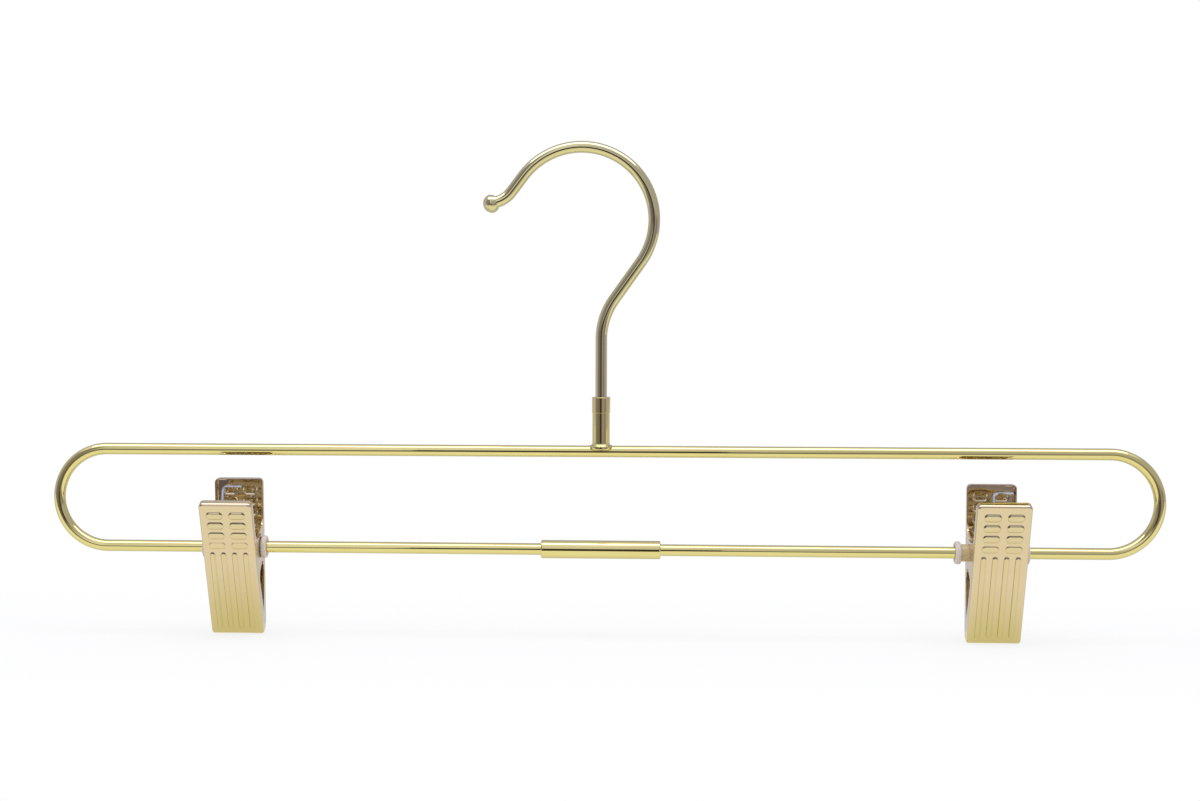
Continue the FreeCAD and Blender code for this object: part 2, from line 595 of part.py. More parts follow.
def build_spring(label, clip_x, swing, left):
    """Torsion spring round the bushes' barrels, its two hooked legs against the handles' insides."""
    wire_radius = size("spring_wire") / 2
    barrel = size("wire_dia") / 2 + size("bush_fit") + size("bush_wall")
    coil = barrel + size("spring_coil_gap") + wire_radius
    tilt = math.radians(size("plate_tilt"))
    seat = size("plate_offset") - size("sheet") - size("spring_plate_gap") - wire_radius
    rise = size("handle_rise") - size("spring_foot_drop")
    foot_y = seat * math.cos(tilt) + rise * math.sin(tilt)
    foot_z = rise * math.cos(tilt) - seat * math.sin(tilt)
    distance = math.hypot(foot_y, foot_z)
    lean = math.atan2(foot_y, foot_z) - math.asin(coil / distance)
    sweep = math.pi - 2 * lean + 2 * math.pi * SPRING_FULL_TURNS
    length = size("spring_pitch") * sweep / (2 * math.pi)
    steps = round(2 * sweep / math.pi)

    def on_coil(step):
        angle = -lean - sweep * step / steps
        return Vector(left + length * step / steps, coil * math.cos(angle), coil * math.sin(angle))

    def along_coil(step):
        angle = -lean - sweep * step / steps
        climb = length / sweep if 0 < step < steps else 0
        return Vector(climb, coil * math.sin(angle), -coil * math.cos(angle)).normalize()

    across = Vector(1, 0, 0)
    bend = size("spring_bend_radius")
    foot = size("spring_foot_length")
    corner = Vector(left, foot_y, foot_z)
    leg_low, leg_way = on_coil(0), along_coil(0)
    leg_high = corner + leg_way * bend
    edges = [
        Part.LineSegment(corner + across * foot, corner + across * bend).toShape(),
        arc_between(corner + across * bend, corner, leg_high),
        Part.LineSegment(leg_high, leg_low).toShape(),
    ]
    for step in range(steps):
        edges += biarc(on_coil(step), along_coil(step), on_coil(step + 1), along_coil(step + 1))
    far_low, far_way = on_coil(steps), along_coil(steps)
    far_corner = Vector(left + length, -foot_y, foot_z)
    far_high = far_corner - far_way * bend
    edges += [
        Part.LineSegment(far_low, far_high).toShape(),
        arc_between(far_high, far_corner, far_corner - across * bend),
        Part.LineSegment(far_corner - across * bend, far_corner - across * foot).toShape(),
    ]
    spine = Part.Wire(edges)
    section = Part.Wire([Part.Circle(corner + across * foot, across, wire_radius).toShape()])
    shell = Part.BRepOffsetAPI.MakePipeShell(spine)
    shell.add(section)
    shell.build()
    shell.makeSolid()
    spring = doc.addObject("Part::Feature", label)
    spring.Label = label
    spring.Shape = shell.shape()
    spring.Placement = Placement(Vector(clip_x, 0, lower_bar_z), Rotation(across, swing))
    PARTS.append(spring)
    wanted = math.pi * wire_radius**2 * spine.Length
    gap = least_self_gap(spine) - size("spring_wire")
    share = spring.Shape.Volume / wanted
    print(f"{label}: volume {share:.4f} of section times length, least gap {gap:.3f}")


def least_self_gap(spine):
    """Least distance between two stretches of a wire's centreline that aren't neighbours along it."""
    step = size("spring_wire") / SAMPLES_PER_WIRE
    points = spine.discretize(Distance=step)
    apart = round(size("spring_pitch") * NEIGHBOUR_PITCHES / step)
    pairs = ((a, b) for i, a in enumerate(points) for b in points[i + apart :])
    return min(a.distanceToPoint(b) for a, b in pairs)


build_frame_wire()
build_sleeve()
build_ferrule()
build_hook()
half_loop = size("frame_width") / 2
half_tray = size("jaw_width") / 2 - 2 * size("sheet") - size("ear_side_gap")
left_leg = size("left_spring_side_gap") + size("spring_wire") / 2 - half_tray
right_leg = half_tray - size("right_spring_side_gap") - size("spring_foot_length")
for side, clip_x, stand_out, leg in (
    ("left", size("left_clip_inset") - half_loop, 0, left_leg),
    ("right", half_loop - size("right_clip_inset"), size("loose_bush_shift"), right_leg),
):
    swing = size(f"{side}_clip_swing")
    build_bush(f"{side}_clip_left_bush", clip_x, -1, stand_out)
    build_bush(f"{side}_clip_right_bush", clip_x, 1, 0)
    build_jaw(f"{side}_front_jaw", FRONT_WIDTH, clip_x, swing, False)
    build_jaw(f"{side}_back_jaw", BACK_WIDTH, clip_x, swing, True)
    build_spring(f"{side}_spring", clip_x, swing, leg)
doc.recompute()

for made in doc.Objects:
    if {"Invalid", "Error"} & set(made.State):
        raise RuntimeError(f"{made.Label} failed: {made.State}")
for part in PARTS:
    if part.Shape.isNull() or not part.Shape.isValid() or not part.Shape.Solids:
        raise RuntimeError(f"{part.Label} has no valid solid")

os.makedirs("parts", exist_ok=True)
for part in PARTS:
    part.Shape.exportStep(f"parts/{part.Label}.step")
    print(f"{part.Label}: {part.Shape.Volume:.1f} mm3")
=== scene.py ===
import json
import math

import bmesh
import bpy
from mathutils import Matrix, Vector


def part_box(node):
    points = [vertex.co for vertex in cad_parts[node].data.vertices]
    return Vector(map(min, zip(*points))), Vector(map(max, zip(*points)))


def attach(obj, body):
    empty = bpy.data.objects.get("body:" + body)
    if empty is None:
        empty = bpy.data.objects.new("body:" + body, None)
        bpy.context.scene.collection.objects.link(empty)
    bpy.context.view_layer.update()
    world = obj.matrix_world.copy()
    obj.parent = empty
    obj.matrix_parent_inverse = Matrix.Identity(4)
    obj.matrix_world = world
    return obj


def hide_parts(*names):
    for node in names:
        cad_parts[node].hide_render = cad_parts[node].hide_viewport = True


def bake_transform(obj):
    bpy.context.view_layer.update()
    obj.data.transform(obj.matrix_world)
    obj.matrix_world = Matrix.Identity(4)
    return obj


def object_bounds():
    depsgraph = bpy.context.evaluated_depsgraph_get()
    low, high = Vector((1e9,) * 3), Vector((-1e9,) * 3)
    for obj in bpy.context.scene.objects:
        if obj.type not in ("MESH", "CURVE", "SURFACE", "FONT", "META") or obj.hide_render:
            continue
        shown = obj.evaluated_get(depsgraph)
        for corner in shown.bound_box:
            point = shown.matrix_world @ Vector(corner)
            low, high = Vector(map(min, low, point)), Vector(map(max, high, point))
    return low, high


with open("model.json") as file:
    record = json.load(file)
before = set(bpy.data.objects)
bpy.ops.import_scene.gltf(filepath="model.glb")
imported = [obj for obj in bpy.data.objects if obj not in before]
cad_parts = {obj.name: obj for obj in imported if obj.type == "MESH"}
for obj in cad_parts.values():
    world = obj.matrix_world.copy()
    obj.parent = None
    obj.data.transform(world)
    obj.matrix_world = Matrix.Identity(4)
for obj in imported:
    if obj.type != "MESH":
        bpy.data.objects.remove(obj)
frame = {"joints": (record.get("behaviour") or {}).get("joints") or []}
cad_low, cad_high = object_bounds()


# The loop is one length of 4.2 mm steel wire, bent round at both ends and plated in pale gold.
# Its two cut ends face each other in the middle of the lower bar, inside the sleeve.
MM = 0.001
ALONG, DEEP, UP = Vector((1, 0, 0)), Vector((0, 1, 0)), Vector((0, 0, 1))
MERGE_DISTANCE = 0.001 * MM
WIRE_RADIUS = 2.1 * MM
WIRE_SIDES = 40
WIRE_END_GAP = 0.6 * MM
WIRE_RIPPLE = 0.05 * MM
WIRE_PALE, WIRE_DEEP = (0.81, 0.72, 0.28, 1), (0.75, 0.65, 0.24, 1)
END_BEND_STEPS = 40
HAZE_SCALE, HAZE_LOW, HAZE_HIGH = 420.0, 0.35, 0.7
loop_low, loop_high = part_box("frame_wire")
lower_bar = loop_low.z + WIRE_RADIUS
upper_bar = loop_high.z - WIRE_RADIUS
end_bend = (upper_bar - lower_bar) / 2
bar_end = loop_high.x - WIRE_RADIUS - end_bend


def ring(bm, centre, way, radius, sides):
    """A round section that faces along way; returns its edges."""
    place = Matrix.Translation(centre) @ way.to_track_quat("Z", "Y").to_matrix().to_4x4()
    made = bmesh.ops.create_circle(bm, segments=sides, radius=radius, matrix=place)
    return list(dict.fromkeys(edge for vert in made["verts"] for edge in vert.link_edges))


def draw_on(bm, section, move, grow=1.0):
    """Extrude a section along a straight run, and widen or narrow it about its middle."""
    made = bmesh.ops.extrude_edge_only(bm, edges=section)["geom"]
    verts = [item for item in made if isinstance(item, bmesh.types.BMVert)]
    bmesh.ops.translate(bm, verts=verts, vec=move)
    if grow != 1.0:
        middle = sum((vert.co for vert in verts), Vector()) / len(verts)
        for vert in verts:
            vert.co = middle + (vert.co - middle) * grow
    return [item for item in made if isinstance(item, bmesh.types.BMEdge)]


def bend_on(bm, section, centre, axis, angle, steps, climb=0.0):
    """Sweep a section round an axis; climb moves it along the axis on the way, as in a coil."""
    made = bmesh.ops.spin(
        bm, geom=section, cent=centre, axis=axis, angle=angle, steps=steps, dvec=axis * (climb / steps)
    )
    return [item for item in made["geom_last"] if isinstance(item, bmesh.types.BMEdge)]


def close_end(bm, section):
    bmesh.ops.edgeloop_fill(bm, edges=section)


def add_piece(name, bm, material, body, sharp_angle=40, even=False):
    """A smooth-shaded piece that rides on a body; even keeps broad faces flat up to their rims."""
    bmesh.ops.remove_doubles(bm, verts=bm.verts, dist=MERGE_DISTANCE)
    bmesh.ops.recalc_face_normals(bm, faces=bm.faces)
    mesh = bpy.data.meshes.new(name)
    bm.to_mesh(mesh)
    bm.free()
    mesh.shade_smooth()
    mesh.set_sharp_from_angle(angle=math.radians(sharp_angle))
    mesh.materials.append(material)
    piece = bpy.data.objects.new(name, mesh)
    bpy.context.scene.collection.objects.link(piece)
    if even:
        piece.modifiers.new("even shading", "WEIGHTED_NORMAL").keep_sharp = True
    if body:
        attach(piece, body)
    return piece


def node(tree, kind, **settings):
    """A shader node with its properties set; its inputs, by name or number, are values or links."""
    made = tree.nodes.new(kind)
    inputs = settings.pop("inputs", {})
    for key, value in settings.items():
        setattr(made, key, value)
    for key, value in inputs.items():
        if isinstance(value, bpy.types.NodeSocket):
            tree.links.new(value, made.inputs[key])
        else:
            made.inputs[key].default_value = value
    return made


def noise(tree, place, scale, **inputs):
    """The level of a noise pattern at a place."""
    inputs = {"Vector": place, "Scale": scale, **inputs}
    return node(tree, "ShaderNodeTexNoise", inputs=inputs).outputs["Fac"]


def mixed(tree, share, first, second, blend="MIX"):
    """One colour passing to another by a share; a Mix node has its colours at these numbers."""
    inputs = {0: share, 6: first, 7: second}
    return node(tree, "ShaderNodeMix", data_type="RGBA", blend_type=blend, inputs=inputs).outputs[2]


def ranged(tree, value, low, high, out_low=0.0, out_high=1.0, curve="LINEAR"):
    """A value carried over from one range to another, and held inside it."""
    inputs = {"Value": value, "From Min": low, "From Max": high, "To Min": out_low, "To Max": out_high}
    return node(tree, "ShaderNodeMapRange", interpolation_type=curve, inputs=inputs).outputs["Result"]


def plating_group():
    """Worn bright plating: slow drifts of tone, cloudy polish and a faint unevenness of the metal."""
    group = bpy.data.node_groups.new("bright plating", "ShaderNodeTree")
    face = group.interface
    for label, kind, value in (
        ("Pale", "NodeSocketColor", (1, 1, 1, 1)),
        ("Deep", "NodeSocketColor", (0.5, 0.5, 0.5, 1)),
        ("Tone Scale", "NodeSocketFloat", 60.0),
        ("Smooth", "NodeSocketFloat", 0.1),
        ("Cloudy", "NodeSocketFloat", 0.2),
        ("Ripple Scale", "NodeSocketFloat", 90.0),
    ):
        face.new_socket(label, in_out="INPUT", socket_type=kind).default_value = value
    for label, kind in (
        ("Color", "NodeSocketColor"),
        ("Roughness", "NodeSocketFloat"),
        ("Height", "NodeSocketFloat"),
    ):
        face.new_socket(label, in_out="OUTPUT", socket_type=kind)
    given = node(group, "NodeGroupInput").outputs
    place = node(group, "ShaderNodeTexCoord").outputs["Object"]
    drift = noise(group, place, given["Tone Scale"], Detail=3.0, Roughness=0.55)
    haze = noise(group, place, HAZE_SCALE, Detail=4.0, Roughness=0.6)
    finish = {
        "Color": mixed(group, drift, given["Deep"], given["Pale"]),
        "Roughness": ranged(group, haze, HAZE_LOW, HAZE_HIGH, given["Smooth"], given["Cloudy"]),
        "Height": noise(group, place, given["Ripple Scale"], Detail=1.0),
    }
    node(group, "NodeGroupOutput", inputs=finish)
    return group


bright_plating = plating_group()


def bare_material(name):
    """A new material without nodes, and the tree that they go into."""
    material = bpy.data.materials.new(name)
    material.use_nodes = True
    material.node_tree.nodes.clear()
    return material, material.node_tree


def plated_metal(name, pale, deep, smooth, cloudy, ripple_depth, tone_scale=60.0, ripple_scale=90.0):
    """Plated metal that takes its tone, polish and unevenness from the shared group."""
    material, tree = bare_material(name)
    finish = node(
        tree,
        "ShaderNodeGroup",
        name="finish",
        node_tree=bright_plating,
        inputs={
            "Pale": pale,
            "Deep": deep,
            "Tone Scale": tone_scale,
            "Smooth": smooth,
            "Cloudy": cloudy,
            "Ripple Scale": ripple_scale,
        },
    ).outputs
    bump = node(tree, "ShaderNodeBump", inputs={"Distance": ripple_depth, "Height": finish["Height"]})
    shader = node(
        tree,
        "ShaderNodeBsdfPrincipled",
        name="metal",
        inputs={
            "Metallic": 1.0,
            "Base Color": finish["Color"],
            "Roughness": finish["Roughness"],
            "Coat Weight": 0.25,
            "Coat Roughness": 0.06,
            "Normal": bump.outputs["Normal"],
        },
    )
    node(tree, "ShaderNodeOutputMaterial", inputs={"Surface": shader.outputs["BSDF"]})
    return material


gold_wire = plated_metal(
    "gold wire", WIRE_PALE, WIRE_DEEP, smooth=0.03, cloudy=0.08, ripple_depth=WIRE_RIPPLE
)

bm = bmesh.new()
bend_height = lower_bar + end_bend
section = ring(bm, Vector((WIRE_END_GAP / 2, 0, lower_bar)), ALONG, WIRE_RADIUS, WIRE_SIDES)
close_end(bm, section)
section = draw_on(bm, section, ALONG * (bar_end - WIRE_END_GAP / 2))
section = bend_on(bm, section, Vector((bar_end, 0, bend_height)), DEEP, -math.pi, END_BEND_STEPS)
section = draw_on(bm, section, ALONG * (-2 * bar_end))
section = bend_on(bm, section, Vector((-bar_end, 0, bend_height)), DEEP, -math.pi, END_BEND_STEPS)
section = draw_on(bm, section, ALONG * (bar_end - WIRE_END_GAP / 2))
close_end(bm, section)
loop = add_piece("loop_wire", bm, gold_wire, "frame")
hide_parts("frame_wire")


# The sleeve is a plain drawn tube, slid over the wire's two ends before they were closed up.
# Its rims are rounded, and it carries the same plating as the wire.
SLEEVE_WALL = 1.15 * MM
SLEEVE_RIM = 0.5 * MM
TUBE_SIDES = 72
CLOSE_BY = 0.01 * MM
sleeve_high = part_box("frame_joint_sleeve")[1]


def lathe(bm, outline, axis, origin, sides):
    """Turn a closed outline of (along the axis, radius) points round an axis in the hanger's plane."""
    verts = [bm.verts.new(origin + axis * along + DEEP * radius) for along, radius in outline]
    edges = [bm.edges.new(pair) for pair in zip(verts, verts[1:] + verts[:1])]
    bmesh.ops.spin(
        bm, geom=verts + edges, cent=origin, axis=axis, angle=2 * math.pi, steps=sides, use_merge=True
    )
    bmesh.ops.recalc_face_normals(bm, faces=bm.faces)


def round_edges(bm, edges, radius, segments):
    bmesh.ops.bevel(
        bm, geom=edges, offset=radius, segments=segments, profile=0.5, affect="EDGES", material=-1
    )


def round_rims(bm, axis, origin, rims, radius, segments=5):
    """Round the circular edges that lie at the given (along the axis, radius) places."""

    def at_rim(vert, along, wide):
        spot = vert.co - origin
        off_axis = (spot - axis * spot.dot(axis)).length
        return abs(spot.dot(axis) - along) < MERGE_DISTANCE and abs(off_axis - wide) < CLOSE_BY

    edges = [
        edge for edge in bm.edges if any(all(at_rim(vert, *rim) for vert in edge.verts) for rim in rims)
    ]
    round_edges(bm, edges, radius, segments)


bm = bmesh.new()
sleeve_middle = Vector((0, 0, lower_bar))
sleeve_half, sleeve_outer = sleeve_high.x, sleeve_high.z - lower_bar
sleeve_bore = sleeve_outer - SLEEVE_WALL
sleeve_rims = [(-sleeve_half, sleeve_outer), (sleeve_half, sleeve_outer)]
sleeve_outline = sleeve_rims + [(sleeve_half, sleeve_bore), (-sleeve_half, sleeve_bore)]
lathe(bm, sleeve_outline, ALONG, sleeve_middle, TUBE_SIDES)
round_rims(bm, ALONG, sleeve_middle, sleeve_rims, SLEEVE_RIM)
sleeve = add_piece("joint_sleeve", bm, gold_wire, "frame", even=True)
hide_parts("frame_joint_sleeve")


# The ferrule is a stepped tube with a flared foot, fixed astride the upper bar.
# Its neck is closed in round the hook's shank, so that the hook turns but can't pull out.
FERRULE_WALL = 0.5 * MM
NECK_LENGTH = 5.6 * MM
NECK_STEP = 0.15 * MM
NECK_FIT = 0.08 * MM
NECK_EDGE = 0.2 * MM
NECK_FOOT_EDGE = 0.1 * MM
COLLAR_THICKNESS = 1.4 * MM
COLLAR_OVERHANG = 1.1 * MM
COLLAR_FLARE = 0.9 * MM
COLLAR_EDGE = 0.3 * MM
ferrule_low, ferrule_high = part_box("hook_ferrule")
swivel = Vector((0, 0, upper_bar))
collar_foot, ferrule_top = ferrule_low.z - upper_bar, ferrule_high.z - upper_bar
collar_outer = ferrule_high.x
barrel_outer = collar_outer - COLLAR_OVERHANG
shoulder, neck_foot = collar_foot + COLLAR_THICKNESS, ferrule_top - NECK_LENGTH
neck_outer, throat = barrel_outer + NECK_STEP, WIRE_RADIUS + NECK_FIT
chamber = barrel_outer - FERRULE_WALL
ferrule_outline = [
    (collar_foot, chamber),
    (collar_foot, collar_outer),
    (shoulder, collar_outer),
    (shoulder, barrel_outer),
    (neck_foot, barrel_outer),
    (neck_foot, neck_outer),
    (ferrule_top, neck_outer),
    (ferrule_top, throat),
    (neck_foot, throat),
    (neck_foot, chamber),
]

bm = bmesh.new()
lathe(bm, ferrule_outline, UP, swivel, TUBE_SIDES)
round_rims(bm, UP, swivel, [(shoulder, barrel_outer)], COLLAR_FLARE)
round_rims(bm, UP, swivel, [(ferrule_top, neck_outer)], NECK_EDGE)
round_rims(bm, UP, swivel, [(collar_foot, collar_outer), (shoulder, collar_outer)], COLLAR_EDGE, segments=3)
round_rims(bm, UP, swivel, [(neck_foot, neck_outer)], NECK_FOOT_EDGE, segments=2)
ferrule = add_piece("hook_socket", bm, gold_wire, "frame", even=True)
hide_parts("hook_ferrule")


# The hook is bent from the same wire: a shank that leans out to one side, the round crook and
# a turned-out tip. A ball is headed on the tip, and an upset head keeps the foot in the ferrule.
# Its plating is a little greyer than the loop's.
CROOK_RADIUS = 26.0 * MM
CROOK_OFFSET = 7.3 * MM
SHANK_LEAN = math.radians(35.4)
SHANK_BEND = 25.0 * MM
TIP_SLOPE = math.radians(53.0)
TIP_RUN = 6.9 * MM
TIP_BEND = 10.0 * MM
TIP_DIP = math.radians(19.0)
TIP_END_RUN = 0.7 * MM
BALL_RADIUS = 3.35 * MM
BALL_LENGTH = 4.9 * MM
BALL_RIM = 2.6 * MM
HEAD_OVERHANG = 0.3 * MM
HEAD_LENGTH = 1.5 * MM
SHANK_STEPS, CROOK_STEPS, TIP_STEPS, BALL_STEPS = 20, 96, 16, 10
HOOK_PALE, HOOK_DEEP = (0.73, 0.66, 0.325, 1), (0.68, 0.61, 0.29, 1)
hook_low, hook_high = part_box("hook_wire")
crook_centre = Vector((-CROOK_OFFSET, 0, hook_high.z - WIRE_RADIUS - CROOK_RADIUS))


def way_at(angle):
    """The direction at an angle up from +X, in the plane of the hanger."""
    return Vector((math.cos(angle), 0, math.sin(angle)))


def maths(tree, operation, first, second=0.0):
    """The result of one sum or comparison in a material."""
    return node(tree, "ShaderNodeMath", operation=operation, inputs={0: first, 1: second}).outputs[0]


lean_way = way_at(math.pi / 2 - SHANK_LEAN)
lean_end = crook_centre + way_at(-SHANK_LEAN) * CROOK_RADIUS
bend_side = SHANK_BEND * (1 - math.cos(SHANK_LEAN))
lean_run = (lean_end.x - bend_side) / math.sin(SHANK_LEAN)
bend_top = lean_end - lean_way * lean_run
bend_centre = Vector((SHANK_BEND, 0, bend_top.z - SHANK_BEND * math.sin(SHANK_LEAN)))
crook_sweep = SHANK_LEAN + math.pi / 2 + TIP_SLOPE
tip_way, ball_way = way_at(math.pi + TIP_SLOPE), way_at(math.pi + TIP_DIP)
tip_start = crook_centre + way_at(math.pi / 2 + TIP_SLOPE) * CROOK_RADIUS
tip_centre = tip_start + tip_way * TIP_RUN + way_at(math.pi / 2 + TIP_SLOPE) * TIP_BEND

bm = bmesh.new()
section = ring(bm, Vector((0, 0, hook_low.z)), UP, WIRE_RADIUS + HEAD_OVERHANG, WIRE_SIDES)
close_end(bm, section)
section = draw_on(bm, section, UP * HEAD_LENGTH)
section = draw_on(bm, section, Vector(), WIRE_RADIUS / (WIRE_RADIUS + HEAD_OVERHANG))
section = draw_on(bm, section, UP * (bend_centre.z - hook_low.z - HEAD_LENGTH))
section = bend_on(bm, section, bend_centre, DEEP, SHANK_LEAN, SHANK_STEPS)
section = draw_on(bm, section, lean_way * lean_run)
section = bend_on(bm, section, crook_centre, DEEP, -crook_sweep, CROOK_STEPS)
section = draw_on(bm, section, tip_way * TIP_RUN)
section = bend_on(bm, section, tip_centre, DEEP, TIP_SLOPE - TIP_DIP, TIP_STEPS)
section = draw_on(bm, section, ball_way * TIP_END_RUN)
section = draw_on(bm, section, Vector(), BALL_RIM / WIRE_RADIUS)
section = draw_on(bm, section, ball_way * (BALL_LENGTH - BALL_RADIUS), BALL_RADIUS / BALL_RIM)
for step in range(1, BALL_STEPS):
    before, after = (math.pi / 2 * s / BALL_STEPS for s in (step - 1, step))
    climb = BALL_RADIUS * (math.sin(after) - math.sin(before))
    section = draw_on(bm, section, ball_way * climb, math.cos(after) / math.cos(before))
close_end(bm, section)
tree = gold_wire.node_tree
spot = node(tree, "ShaderNodeTexCoord").outputs["Object"]
height = node(tree, "ShaderNodeSeparateXYZ", inputs={0: spot}).outputs["Z"]
on_hook = maths(tree, "GREATER_THAN", height, upper_bar + ferrule_top)
for shade, loop_tone, hook_tone in (("Pale", WIRE_PALE, HOOK_PALE), ("Deep", WIRE_DEEP, HOOK_DEEP)):
    tone = mixed(tree, on_hook, loop_tone, hook_tone)
    tree.links.new(tone, tree.nodes["finish"].inputs[shade])
hook = add_piece("swivel_hook", bm, gold_wire, "hook")
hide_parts("hook_wire")


# The bushes are small flanged tubes of milky plastic, pushed into the clip's ears from both sides.
# They run on the lower bar, and the ears and the spring turn on their barrels.
BUSH_FIT = 0.06 * MM
BUSH_WALL = 0.94 * MM
BUSH_BORE = WIRE_RADIUS + BUSH_FIT
BUSH_BARREL = BUSH_BORE + BUSH_WALL
BUSH_FLANGE = 2.0 * MM
BUSH_EDGE = 0.6 * MM
BUSH_BORE_EDGE = 0.2 * MM
BUSH_SIDES = 56
BUSH_GRAIN_SCALE, BUSH_GRAIN_DEPTH = 500.0, 0.02 * MM
BUSH_GLOSSY, BUSH_DULL = 0.28, 0.45
BUSH_PALE, BUSH_DEEP = (0.92, 0.84, 0.77, 1), (0.82, 0.72, 0.65, 1)
# The gold bar seen through the thin barrel, painted into the plastic's colour as a painted reflection.
BARREL_PAINTED_GOLD = (0.80, 0.65, 0.36, 1)
PAINTED_GOLD_RUN = 0.4 * MM


def vector_maths(tree, operation, first, second=(0, 0, 0), result="Vector"):
    """The result of one sum on two places in a material."""
    inputs = {0: first, 1: second}
    return node(tree, "ShaderNodeVectorMath", operation=operation, inputs=inputs).outputs[result]


def milky_plastic():
    """Cloudy plastic, with the gold of the bar seen through its thin barrel painted into its colour."""
    material, tree = bare_material("milky plastic")
    place = node(tree, "ShaderNodeTexCoord").outputs["Object"]
    cloud = noise(tree, place, BUSH_GRAIN_SCALE, Detail=3.0)
    on_bar = vector_maths(tree, "SUBTRACT", place, (0, 0, lower_bar))
    off_axis = vector_maths(tree, "MULTIPLY", on_bar, (0, 1, 1))
    from_bar = vector_maths(tree, "LENGTH", off_axis, result="Value")
    # Painted reflection: the barrel's surface takes the painted gold, fading to milky over a short run.
    thick = ranged(tree, from_bar, BUSH_BARREL, BUSH_BARREL + PAINTED_GOLD_RUN)
    bump = node(tree, "ShaderNodeBump", inputs={"Distance": BUSH_GRAIN_DEPTH, "Height": cloud})
    shader = node(
        tree,
        "ShaderNodeBsdfPrincipled",
        inputs={
            "Base Color": mixed(tree, thick, BARREL_PAINTED_GOLD, mixed(tree, cloud, BUSH_DEEP, BUSH_PALE)),
            "Roughness": ranged(tree, cloud, 0.0, 1.0, BUSH_GLOSSY, BUSH_DULL),
            "Transmission Weight": 0.2,
            "IOR": 1.48,
            "Normal": bump.outputs["Normal"],
        },
    )
    node(tree, "ShaderNodeOutputMaterial", inputs={"Surface": shader.outputs["BSDF"]})
    return material


bush_plastic = milky_plastic()
for clip in ("left", "right"):
    for end, outward in (("left", -1), ("right", 1)):
        cad_bush = f"{clip}_clip_{end}_bush"
        bush_low, bush_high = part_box(cad_bush)
        length = bush_high.x - bush_low.x
        outer_end = Vector((bush_high.x if outward > 0 else bush_low.x, 0, lower_bar))
        inward = ALONG * -outward
        rim = bush_high.z - lower_bar
        bush_outline = [
            (0, BUSH_BORE),
            (0, rim),
            (BUSH_FLANGE, rim),
            (BUSH_FLANGE, BUSH_BARREL),
            (length, BUSH_BARREL),
            (length, BUSH_BORE),
        ]
        bm = bmesh.new()
        lathe(bm, bush_outline, inward, outer_end, BUSH_SIDES)
        round_rims(bm, inward, outer_end, [(0, rim), (BUSH_FLANGE, rim)], BUSH_EDGE)
        round_rims(bm, inward, outer_end, [(0, BUSH_BORE)], BUSH_BORE_EDGE, segments=3)
        bush_name, bush_body = f"{clip}_bush_{end}", f"{clip}_bushes"
        bush = add_piece(bush_name, bm, bush_plastic, bush_body, even=True)
        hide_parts(cad_bush)


# Each jaw is stamped from 0.6 mm sheet: a tray with lips and side flanges, ears for the pivot,
# rows of short grip ribs on its handle and long flutes down to its toe. The back jaw is narrower,
# so that its ears turn between the front one's.
SHEET = 0.6 * MM
FRONT_WIDTH = 19.1 * MM
BACK_WIDTH = 17.7 * MM
PLATE_OFFSET = 10.7 * MM
PLATE_TILT = math.radians(10.3)
CLIP_SWING = {"left": math.radians(12.8), "right": math.radians(8.8)}
HANDLE_RISE = 23.9 * MM
JAW_DROP = 31.6 * MM
FLANGE_DEPTH = 3.0 * MM
EAR_FIT = 0.06 * MM
EAR_WALL = 1.75 * MM
EAR_HOLE = BUSH_BARREL + EAR_FIT
EAR_RADIUS = EAR_HOLE + EAR_WALL
EAR_ROOT = 10.0 * MM
EAR_ROOT_RADIUS = 4.0 * MM
GRIP_HEIGHT = 1.2 * MM
GRIP_GAP = 0.2 * MM
BEND, BEND_STEPS = 0.8 * MM, 6
TOE, TOE_STEPS = 2.2 * MM, 10
CORNER = 1.7 * MM
FOLD_ANGLE = 1.0
RIB_RISES = {"front": (0.45 * MM, 0.40 * MM, 0.32 * MM, 0.24 * MM), "back": (0.45 * MM,) * 4}
RIB_CRISP_WALL = 0.45 * MM
RIB_SOFT_WALL = 0.65 * MM
# How dark the painted shade is at a rib's upper ends and along its foot.
RIB_END_SHADE, RIB_FOOT_SHADE = 1.6, 0.3
RIB_HEIGHT = 3.0 * MM
RIB_SIDE_MARGIN = 2.3 * MM
RIB_COLUMN_GAP = 1.7 * MM
RIB_FIRST = 4.7 * MM
RIB_PITCH = 4.1 * MM
FLUTES = 4
FLUTE_RISE = 0.43 * MM
FLUTE_CRISP_WALL = 0.36 * MM
FLUTE_SOFT_WALL = 0.9 * MM
# How dark the painted shade is down a flute's sides and at its top.
FLUTE_SIDE_SHADE, FLUTE_FAR_SHARE, FLUTE_TOP_SHADE = 0.4, 0.3, 0.8
FLUTE_WIDTH = 2.4 * MM
FLUTE_SIDE_MARGIN = 3.55 * MM
FLUTE_TOP = 19.8 * MM
FLUTE_FOOT = 2.9 * MM
GRAIN_ACROSS, GRAIN_DOWN = 0.12 * MM, 0.3 * MM
FLANGE_CUTS, FLANGE_SLANT = 16, 0.8
CUT_EDGE = 0.1 * MM
JAW_SHARP_ANGLE = 60
SHEET_RIPPLE = 0.09 * MM
# A painted reflection tint that makes the raised crowns yellower, and the dark tone of the painted shade.
CROWN_PAINTED_REFLECTION_TINT, PAINTED_SHADE_TONE = (0.98, 1.0, 0.92, 1), (0.12, 0.08, 0.045, 1)

joint_place = {joint["name"]: Vector(joint.get("pos_m", (0, 0, 0))) for joint in frame["joints"]}
flange_edge = FLANGE_DEPTH - PLATE_OFFSET
half_grip = GRIP_GAP / 2 / math.cos(PLATE_TILT)
sweep_centre = Vector((flange_edge + EAR_ROOT_RADIUS, EAR_ROOT))
sweep_turn = math.atan2(sweep_centre.y, -sweep_centre.x)
sweep_lean = math.asin((EAR_RADIUS + EAR_ROOT_RADIUS) / sweep_centre.length)


